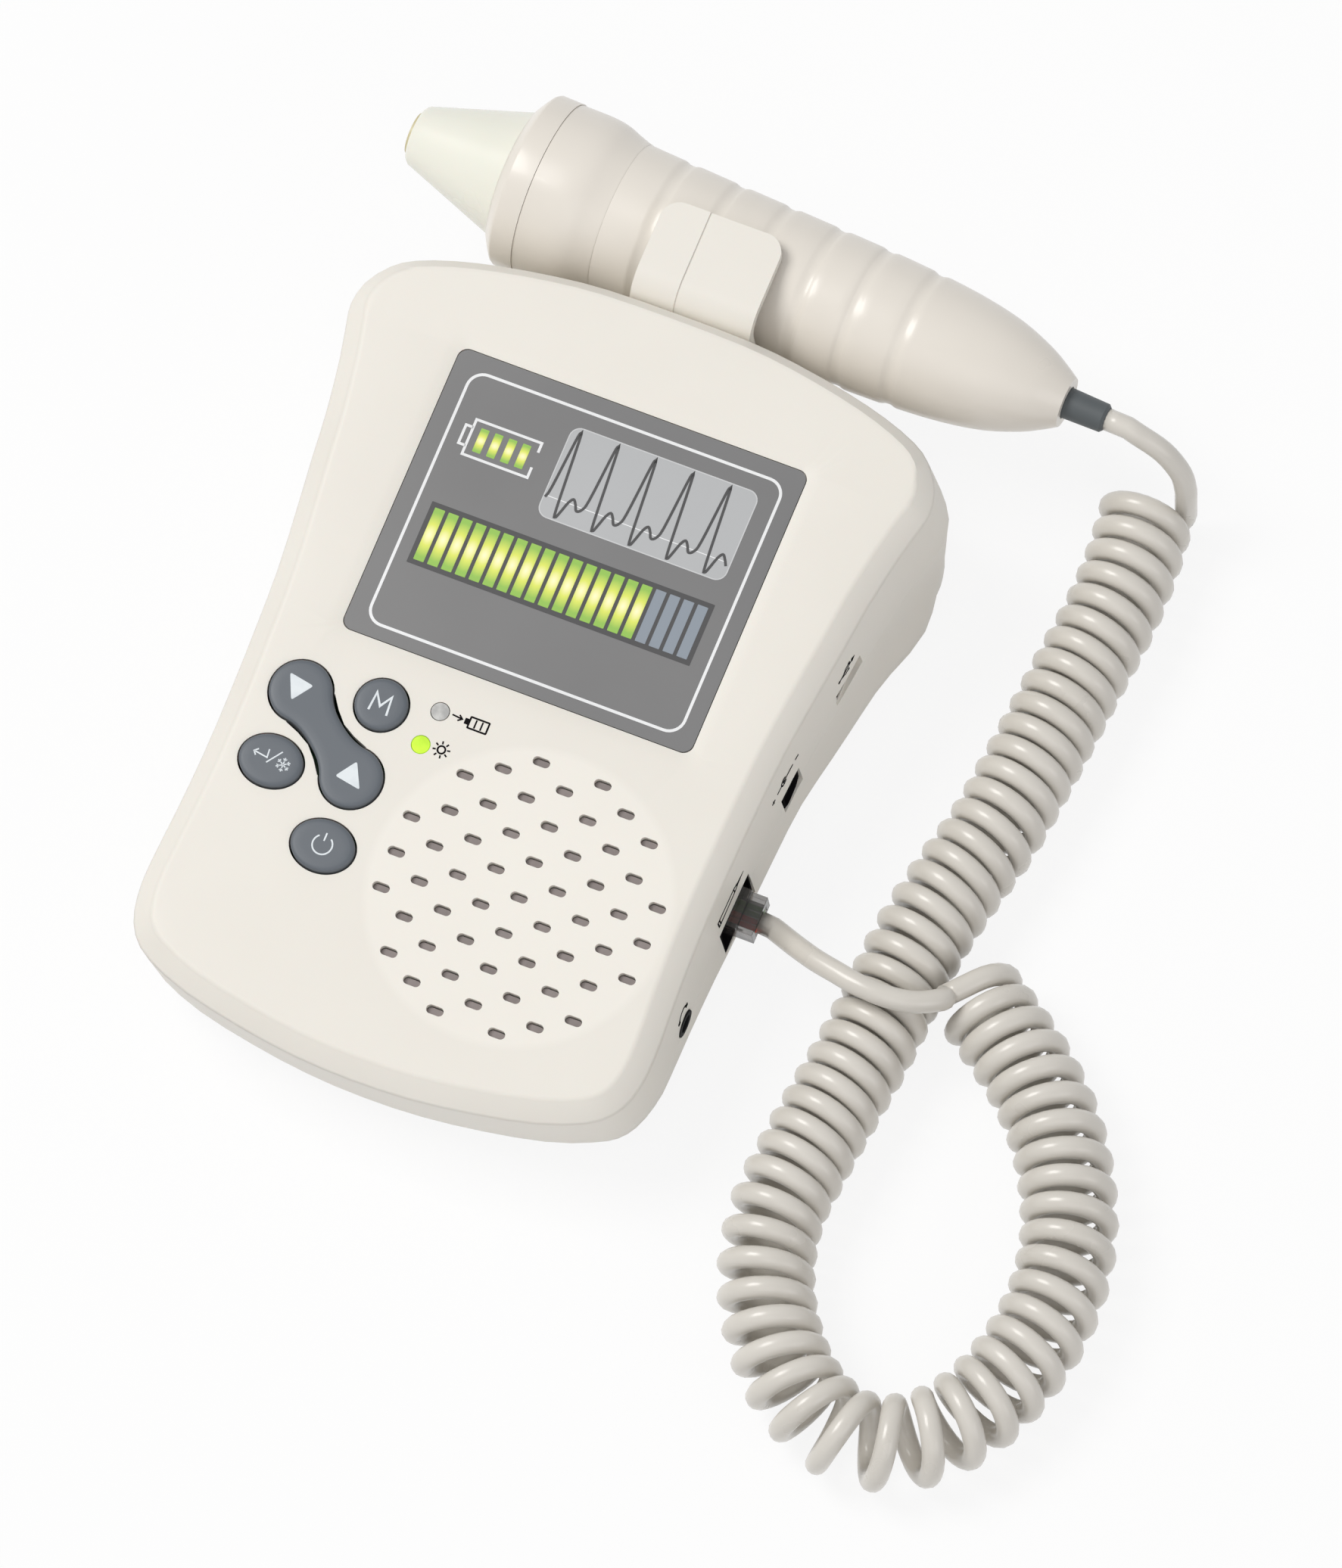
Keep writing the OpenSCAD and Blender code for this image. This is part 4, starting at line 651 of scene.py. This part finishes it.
def makeScreen(look):
    def show(name, shapes, ink, thick, uv=False):
        inkPiece(name, shapes, onFace(0, 0, look["height"]), "case", ink, thick, uv)
    show("screenFrameLine", [(rounded(*look["frame"], look["corner"], 8), look["line"], True)],
         "whiteInk", 0.04)
    show("batterySign", [(look["battery"], look["batteryLine"]), (look["batteryNub"], look["batteryLine"])],
         "whiteInk", 0.04)
    x0, y0, x1, y1 = look["cell"]
    shifts = [look["cellStep"] * i for i in range(look["cellCount"])]
    cells = [(rounded(x0 + shift, y0, x1 + shift, y1, look["cellCorner"], 2),) for shift in shifts]
    show("batteryCells", cells, "litInk", 0.04, True)
    x0, y0, x1, y1 = look["panel"]
    outline = rounded(x0, y0, x1, y1, look["panelCorner"])
    show("wavePanel", [(outline,)], "panelInk", 0.03)
    show("wavePanelRim", [(outline, look["rimLine"], True)], "panelRim", 0.045)

    def spot(u, v):
        return Vector((x0 + (x1 - x0) * u, y1 - (y1 - y0) * v))
    show("waveBaseLine", [([spot(*p) for p in look["baseLine"]], look["thinLine"])], "whiteInk", 0.05)
    beats = [spot(*look["waveStart"])]
    for k in range(look["beatCount"]):
        shift = look["beatShare"] * k
        beats += [spot(shift + u, v) for u, v in look["beat"]]
        if k < look["beatCount"] - 1:
            u, v = look["waveNext"]
            beats.append(spot(shift + u, v))
    show("waveLine", [(splineThrough(beats, 4), look["wave"])], "darkInk", 0.07)
    x0, y0, x1, y1 = look["bars"]
    show("barField", [(rounded(x0, y0, x1, y1, look["fieldCorner"], 2),)], "darkInk", 0.03)
    margin, width = look["barMargin"], look["barWidth"]
    step = (x1 - x0 - 2 * margin - width) / (look["barCount"] - 1)
    lefts = [x0 + margin + step * i for i in range(look["barCount"])]
    bars = [(rounded(left, y0 + margin, left + width, y1 - margin, look["cellCorner"], 2),)
            for left in lefts]
    show("litBars", bars[:look["lit"]], "litInk", 0.06, True)
    show("unlitBars", bars[look["lit"]:], "unlitInk", 0.06)


makeScreen(screenLook)
print("screen made")


# Keys: soft caps with rounded shoulders
keyLook = {
    "low": -3.3, "shoulder": 0.32, "sharp": 50, "radius": 4.9, "ovalRadius": 6,
    "steps": [(0.08, 0.2), (0.13, 0.17), (0.22, 0.13), (0.5, 0.09), (1.2, 0.04)],
    "mode_key": (-21.3, -12), "enter_key": (-35.9, -28.9), "power_key": (-20.9, -40.3),
}
rockerLook = {
    "middle": (-28.55, -20.7), "span": 9.503, "turn": -38.38, "lobe": 5.8, "waist": 3.4, "join": 6.5,
    "waistSteps": 9, "lobeSteps": 15,
}


def rockerOutline(look):
    quarter = []
    joinY = math.sqrt(look["lobe"] ** 2 - (look["span"] - look["join"]) ** 2)
    slope = (look["span"] - look["join"]) / joinY
    for k in range(look["waistSteps"]):
        t = k / look["waistSteps"]
        rise = (joinY - look["waist"]) * (3 * t * t - 2 * t ** 3)
        quarter.append((look["join"] * t, look["waist"] + rise + slope * look["join"] * (t ** 3 - t * t)))
    start = math.atan2(joinY, look["join"] - look["span"])
    for k in range(look["lobeSteps"]):
        a = start * (1 - k / look["lobeSteps"])
        quarter.append((look["span"] + look["lobe"] * math.cos(a), look["lobe"] * math.sin(a)))
    tip = [(look["span"] + look["lobe"], 0.0)]
    right = quarter + tip + [(x, -y) for x, y in reversed(quarter)]
    left = [(-x, y) for x, y in reversed(right[1:-1])]
    return right + left


def keyCap(node, outline, matrix):
    bm = bmesh.new()
    faces = fillShape(bm, outline)
    bmesh.ops.translate(bm, verts=bm.verts, vec=(0, 0, keyLook["low"]))
    made = bmesh.ops.extrude_face_region(bm, geom=faces)
    top = [f for f in made["geom"] if isinstance(f, bmesh.types.BMFace)][0]
    bmesh.ops.translate(bm, verts=list(top.verts), vec=(0, 0, keyLook["shoulder"] - keyLook["low"]))
    for inset, rise in keyLook["steps"]:
        bmesh.ops.inset_region(bm, faces=[top], thickness=inset, use_even_offset=True)
        bmesh.ops.translate(bm, verts=list(top.verts), vec=(0, 0, rise))
    bmesh.ops.recalc_face_normals(bm, faces=bm.faces)
    bmesh.ops.scale(bm, verts=bm.verts, vec=(mm, mm, mm))
    bmesh.ops.transform(bm, matrix=matrix, verts=bm.verts)
    mesh = smoothMesh(bm, node + "_cap", keyLook["sharp"])
    piece = addPiece(node + "_cap", mesh, node, "key_plastic")
    weigh = piece.modifiers.new("evenShade", "WEIGHTED_NORMAL")
    weigh.keep_sharp = True
    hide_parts(node)


keyCap("mode_key", circle(0, 0, keyLook["radius"], 64), onFace(*keyLook["mode_key"], 0))
stretch = keyLook["ovalRadius"] / keyLook["radius"]
oval = [(x * stretch, y) for x, y in circle(0, 0, keyLook["radius"], 72)]
for node in ("enter_key", "power_key"):
    keyCap(node, oval, onFace(*keyLook[node], 0))
keyCap("rocker_key", rockerOutline(rockerLook), onFace(*rockerLook["middle"], 0, rockerLook["turn"]))

# Signs on the keys
keyTop = keyLook["shoulder"] + sum(rise for inset, rise in keyLook["steps"]) - 0.01
snowLook = {"at": (-33.4, -29.0), "ray": 1.35, "line": 0.22, "tip": (1.15, 0.34), "fork": 0.72,
            "forkLine": 0.17}
snow = []
for k in range(6):
    a = math.radians(30 + 60 * k)
    ray = Vector((math.cos(a), math.sin(a)))
    side = Vector((-ray.y, ray.x)) * snowLook["tip"][1]
    tip = ray * snowLook["tip"][0]
    snow.append(([(0, 0), ray * snowLook["ray"]], snowLook["line"]))
    snow.append(([tip + side, ray * snowLook["fork"], tip - side], snowLook["forkLine"]))
keySigns = {
    "modeSign": ("mode_key", [([(-1.75, -1.8), (-1.45, 1.8), (0.0, -0.5), (1.45, 1.8), (1.75, -1.8)], 0.42)]),
    "powerSign": ("power_key", [(circle(0, 0, 1.85, 28, 128, 284), 0.3), ([(0.0, 0.75), (0.0, 2.3)], 0.3)]),
    "enterSign": ("enter_key", [([(-3.4, 0.55), (-0.75, 0.15), (-0.9, 1.75)], 0.26),
                                ([(-2.75, 1.15), (-3.45, 0.55), (-2.9, -0.15)], 0.26),
                                ([(-0.55, -0.75), (1.55, 2.1)], 0.26)]),
}
for name, (node, shapes) in keySigns.items():
    inkPiece(name, shapes, onFace(*keyLook[node], keyTop), node, "keyInk")
inkPiece("freezeSign", snow, onFace(*snowLook["at"], keyTop), "enter_key", "keyInk")


def softTriangle(corners, r, steps=4):
    points = []
    middle = sum((Vector(c) for c in corners), Vector((0, 0))) / 3
    for i in range(3):
        p = Vector(corners[i])
        a = (Vector(corners[i - 1]) - p).normalized()
        b = (Vector(corners[(i + 1) % 3]) - p).normalized()
        for k in range(steps + 1):
            t = k / steps
            points.append(tuple((p + a * r) * (1 - t) ** 2 + p * 2 * t * (1 - t) + (p + b * r) * t * t))
    return [tuple(Vector(q) - middle) for q in points], middle


rockerMarks = {
    "rockerFarMark": [(-39.0, -12.4), (-34.0, -13.3), (-36.8, -17.2)],
    "rockerNearMark": [(-23.8, -27.5), (-21.1, -23.6), (-18.6, -28.4)],
}
for name, corners in rockerMarks.items():
    points, middle = softTriangle(corners, 0.55)
    inkPiece(name, [(points,)], onFace(*middle, keyTop), "rocker_key", "keyInk")

# Signs beside the lamps
sunLook = {"at": (-7.9, -15.9), "radius": 0.72, "line": 0.34, "rayLine": 0.3, "rays": (1.05, 1.65),
           "turn": 10}
sun = [(circle(0, 0, sunLook["radius"], 20), sunLook["line"], True)]
for k in range(8):
    a = math.radians(45 * k + sunLook["turn"])
    sun.append(([(r * math.cos(a), r * math.sin(a)) for r in sunLook["rays"]], sunLook["rayLine"]))
charge = [([(-8.6, -9.0), (-6.7, -9.2)], 0.3), (rounded(-5.2, -10.35, -1.6, -8.2, 0.1, 2), 0.34, True),
          ([(-7.3, -8.6), (-6.6, -9.2), (-7.35, -9.75)], 0.3), (rounded(-6.1, -9.85, -5.35, -8.7, 0.08, 2),),
          ([(-4.0, -10.1), (-4.0, -8.45)], 0.3), ([(-2.8, -10.1), (-2.8, -8.45)], 0.3)]
for name, shapes, place in (("sunSign", sun, sunLook["at"]), ("chargeSign", charge, (0, 0))):
    inkPiece(name, shapes, onFace(*place, 0), "case", "blackPrintAndShade", 0.03)
print("keys and signs made")


# Signs on the side wall follow its curve
def treeOf(node):
    shellCopy = dressed[node].data.copy()
    shellCopy.transform(caseMatrix.inverted())
    tree = BVHTree.FromPolygons([v.co for v in shellCopy.vertices],
                                [tuple(p.vertices) for p in shellCopy.polygons])
    bpy.data.meshes.remove(shellCopy)
    return tree


wallTree, lowTree = treeOf("upper_shell"), treeOf("lower_shell")
outside = 90.0  # rays start here, clear of both side walls


def wallHit(y, z, tree=wallTree, side=1):
    return tree.ray_cast(Vector((side * outside, y, z)) * mm, Vector((-side, 0, 0)))[0]


wallSigns = {
    "dataSign": [([(24.5, -11.4), (29.6, -11.0)], 0.28),
                 ([(26.0, -11.3), (27.2, -10.4), (28.2, -10.3)], 0.25),
                 ([(25.4, -11.35), (26.8, -12.1), (27.6, -12.1)], 0.25), (circle(24.6, -11.4, 0.35, 12),),
                 (rounded(28.1, -10.6, 28.7, -10.0, 0.05, 2),), (circle(27.8, -12.1, 0.3, 12),),
                 ([(29.2, -11.5), (30.1, -11.0), (29.2, -10.5)], 0.25)],
    "polaritySign": [([(-1.3, -11.3), (-0.1, -11.3)], 0.32), ([(-0.7, -10.8), (-0.7, -11.8)], 0.32),
                     ([(0.9, -11.2), (2.5, -11.2)], 0.28), (circle(3.6, -11.1, 0.95, 20, 40, 280), 0.32),
                     (circle(3.6, -11.1, 0.42, 14),), ([(4.0, -11.1), (7.2, -11.1)], 0.28),
                     ([(8.1, -11.1), (9.3, -11.1)], 0.32)],
    "probeSign": [([(-25.4, -13.3), (-25.4, -11.3), (-18.2, -11.5), (-16.9, -12.1), (-14.7, -12.3),
                    (-16.9, -12.6), (-18.2, -13.1)], 0.32, True),
                  ([(-24.7, -13.25), (-24.7, -11.35)], 0.28), ([(-18.4, -11.5), (-18.4, -13.1)], 0.25),
                  ([(-17.2, -12.1), (-17.2, -12.6)], 0.25)],
    "earSign": [(circle(-42.9, -13.6, 1.75, 18, 20, 140), 0.38),
                (rounded(-45.2, -13.9, -44.3, -12.9, 0.2, 3),), (rounded(-41.5, -13.9, -40.6, -12.9, 0.2, 3),)],
}


def wallSign(name, shapes, thick=0.09, sunk=0.008):
    bm = bmesh.new()
    addShapes(bm, shapes)
    raiseShapes(bm, thick)
    for vert in bm.verts:
        y, z, proud = vert.co
        vert.co = caseMatrix @ Vector((wallHit(y, z).x + (proud - sunk) * mm, y * mm, z * mm))
    bmesh.ops.recalc_face_normals(bm, faces=bm.faces)
    addPiece(name, toMesh(bm, name), "case", "blackPrintAndShade")


for name, shapes in wallSigns.items():
    wallSign(name, shapes)

# A painted highlight: a light line where the two shells meet, along both side walls; it stops at each opening.
# The wall is sought just above the joint, where the upper shell still has its side
seamLook = {
    "width": 0.22, "level": -20.0, "seek": -19.85, "proud": 0.02, "depth": 0.08, "step": 2,
    "ends": (60.0, -66.0), "openings": [(22.9, 30.9), (1.1, 8.3), (-26.3, -13.3), (-46.3, -40.1)],
}


def partingLine(name, side, places, look):
    bm = bmesh.new()
    before = None
    for y in places:
        hit = wallHit(y, look["seek"], side=side)
        if hit is None:
            before = None
            continue
        x = hit.x + side * look["proud"] * mm
        levels = (look["level"] + look["width"] / 2, look["level"] - look["width"] / 2)
        pair = [bm.verts.new(caseMatrix @ Vector((x, y * mm, z * mm))) for z in levels]
        if before:
            bm.faces.new((before[0], before[1], pair[1], pair[0]))
        before = pair
    made = bmesh.ops.extrude_face_region(bm, geom=list(bm.faces))
    bmesh.ops.translate(bm, verts=[v for v in made["geom"] if isinstance(v, bmesh.types.BMVert)],
                        vec=(-side * look["depth"] * mm, 0, 0))
    bmesh.ops.recalc_face_normals(bm, faces=bm.faces)
    addPiece(name, toMesh(bm, name), "case", "seamHighlight")


far, near = seamLook["ends"]
edges = [far] + [v for low, high in seamLook["openings"] for v in (high, low)] + [near]
for i in range(0, len(edges), 2):
    high, low = edges[i], edges[i + 1]
    steps = max(2, int((high - low) / seamLook["step"]))
    places = [high + (low - high) * k / steps for k in range(steps + 1)]
    partingLine("rightSeamHighlight" + str(i // 2), 1, places, seamLook)
leftCount = int((far - near) / seamLook["step"]) + 1
partingLine("leftSeamHighlight", -1, [far - seamLook["step"] * k for k in range(leftCount)], seamLook)

# Painted shade: black linings on the walls of the openings in the wall, and a black sheet inside the charger
# opening, where the holes fall into shade; and the gilt shell of the data socket
openings = {
    "charger": {"at": (4.7, -19.3), "half": 3.6, "size": (5.95, 5.35), "line": 0.62, "cut": 1.3},
    "socket": {"at": (-19.8, -22.1), "half": 6.0, "size": (12.35, 10.35), "line": 0.45, "cut": 0.3},
    "data": {"at": (26.9, -16.3), "half": 1.7},
}
shadeRingDepth, shadeRingLength = 2.6, 2.45


def wallPiece(name, shapes, opening, depth, thick, ink="blackPrintAndShade"):
    (y, z), half = opening["at"], opening["half"]
    spots = []
    for level in (z + half, z - half):
        hits = [wallHit(y, level, tree) for tree in (wallTree, lowTree)]
        spots.append(max(hit.x for hit in hits if hit))
    place = Matrix.Translation((sum(spots) / 2 - depth * mm, y * mm, z * mm))
    turn = Matrix(((0, 0, 1, 0), (1, 0, 0, 0), (0, 1, 0, 0), (0, 0, 0, 1)))
    inkPiece(name, shapes, caseMatrix @ place @ turn, "case", ink, thick)


# painted shade: a black ring on the walls of each opening
for name in ("charger", "socket"):
    look = openings[name]
    x1, z1, c = look["size"][0] / 2, look["size"][1] / 2, look["cut"]
    outline = [(c - x1, -z1), (x1 - c, -z1), (x1, c - z1), (x1, z1), (-x1, z1), (-x1, c - z1)]
    wallPiece(name + "ShadeRing", [(outline, look["line"], True)], look, shadeRingDepth, shadeRingLength)
# painted shade: a black sheet inside the charger opening
wallPiece("chargerShadeSheet", [(rounded(-2.9, -2.6, 2.9, 2.6, 0.3, 2),)], openings["charger"], 1.3, 0.1)
wallPiece("dataSlot", [(rounded(-3.6, -1.0, 3.6, 1.0, 0.3, 4),)], openings["data"], 0.4, 0.25)
wallPiece("dataShell", [([(-3.3, -0.55), (3.3, -0.55)], 0.2)], openings["data"], 0.15, 0.06,
          "port_metal")

# Cloth behind the sound slots, set a little low so that each slot keeps a dark upper edge
slotLook = {"pitch": (6.0, 3.56), "reach": 26.8, "length": 3.26, "width": 1.66, "shift": (0.1, -0.22),
            "depth": 1.1, "thick": 0.1, "count": 7}
slotCells = []
counts = range(-slotLook["count"], slotLook["count"] + 1)
for i in counts:
    for j in counts:
        x, y = i * slotLook["pitch"][0], j * slotLook["pitch"][1]
        if (i + j) % 2 == 0 and math.hypot(x, y) < slotLook["reach"]:
            half, r = slotLook["length"] / 2, slotLook["width"] / 2
            slotCells.append((rounded(x - half, y - r, x + half, y + r, r, 8),))
clothPlace = [a + b for a, b in zip(speakerPlace, slotLook["shift"])]
inkPiece("grilleCloth", slotCells, onFace(*clothPlace, -slotLook["depth"]), "case", "grilleCloth",
         slotLook["thick"])

# Two of the wires in the plug are green
wires = frame["nodes"]["plug_wires"]
wires.data.materials.append(materials["wireGreen"])
lowWire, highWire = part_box("plug_wires")
for polygon in wires.data.polygons:
    polygon.material_index = 1 if polygon.center.y > (lowWire.y + highWire.y) / 2 else 0
print("wall, seams and cloth made")

# Floor, sky and lamps; the paper and the backdrop glow only where they are seen or mirrored
stageLook = {"floor": (0.88, 0.88, 0.88), "floorRough": 0.9, "floorSize": 6.0, "floorDrop": 0.0002,
             "white": 0.87, "sky": 0.42, "skyColour": (0.97, 0.98, 1.0)}
floorBm = bmesh.new()
bmesh.ops.create_grid(floorBm, x_segments=2, y_segments=2, size=stageLook["floorSize"])
floorMesh = toMesh(floorBm, "floor")
floor = bpy.data.objects.new("floor", floorMesh)
bpy.context.scene.collection.objects.link(floor)
floor.location.z = -stageLook["floorDrop"]
floor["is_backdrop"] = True


def mixByRay(tree, nearShader, farShader, factor):
    rays = tree.nodes.new("ShaderNodeLightPath")

    def either(one, other):
        node = tree.nodes.new("ShaderNodeMath")
        node.operation = "MAXIMUM"
        tree.links.new(one, node.inputs[0])
        tree.links.new(other, node.inputs[1])
        return node.outputs[0]

    direct = either(rays.outputs["Is Camera Ray"], rays.outputs["Is Glossy Ray"])
    seen = either(direct, rays.outputs["Is Transmission Ray"])
    share = tree.nodes.new("ShaderNodeMath")
    share.operation = "MULTIPLY"
    share.inputs[1].default_value = factor
    tree.links.new(seen, share.inputs[0])
    mix = tree.nodes.new("ShaderNodeMixShader")
    tree.links.new(share.outputs[0], mix.inputs[0])
    tree.links.new(nearShader, mix.inputs[1])
    tree.links.new(farShader, mix.inputs[2])
    return mix.outputs[0]


floorMaterial = bpy.data.materials.new("floorPaper")
floorMaterial.use_nodes = True
floorTree = floorMaterial.node_tree
floorShader = floorTree.nodes["Principled BSDF"]
floorShader.inputs["Base Color"].default_value = (*stageLook["floor"], 1)
floorShader.inputs["Roughness"].default_value = stageLook["floorRough"]
paper = floorTree.nodes.new("ShaderNodeEmission")
floorTree.links.new(mixByRay(floorTree, floorShader.outputs[0], paper.outputs[0], stageLook["white"]),
                    floorTree.nodes["Material Output"].inputs["Surface"])
floorMesh.materials.append(floorMaterial)

world = bpy.data.worlds.new("studio")
bpy.context.scene.world = world
world.use_nodes = True
skyTree = world.node_tree
sky = skyTree.nodes["Background"]
sky.inputs["Color"].default_value = (*stageLook["skyColour"], 1)
sky.inputs["Strength"].default_value = stageLook["sky"]
backdrop = skyTree.nodes.new("ShaderNodeBackground")
skyTree.links.new(mixByRay(skyTree, sky.outputs[0], backdrop.outputs[0], 1.0),
                  skyTree.nodes["World Output"].inputs["Surface"])

lamps = {
    "keyLamp": {"place": (-1.0, -0.1, 1.7), "size": 0.9, "power": 22.0, "colour": (1.0, 0.985, 0.96)},
    "wallLamp": {"place": (1.5, -0.5, 0.8), "size": 0.9, "power": 3.5, "colour": (1.0, 0.97, 0.965)},
    "fillLamp": {"place": (0.6, -1.3, 1.5), "size": 1.4, "power": 4.5, "colour": (1.0, 0.97, 0.96)},
}
for name, look in lamps.items():
    lampData = bpy.data.lights.new(name, "AREA")
    lampData.size = look["size"]
    lampData.energy = look["power"]
    lampData.color = look["colour"]
    lamp = bpy.data.objects.new(name, lampData)
    bpy.context.scene.collection.objects.link(lamp)
    lamp.location = look["place"]
    lamp.rotation_mode = "QUATERNION"
    lamp.rotation_quaternion = Vector(look["place"]).to_track_quat("Z", "Y")
bpy.context.scene.view_settings.view_transform = "Standard"
print("stage made")

low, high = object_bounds()
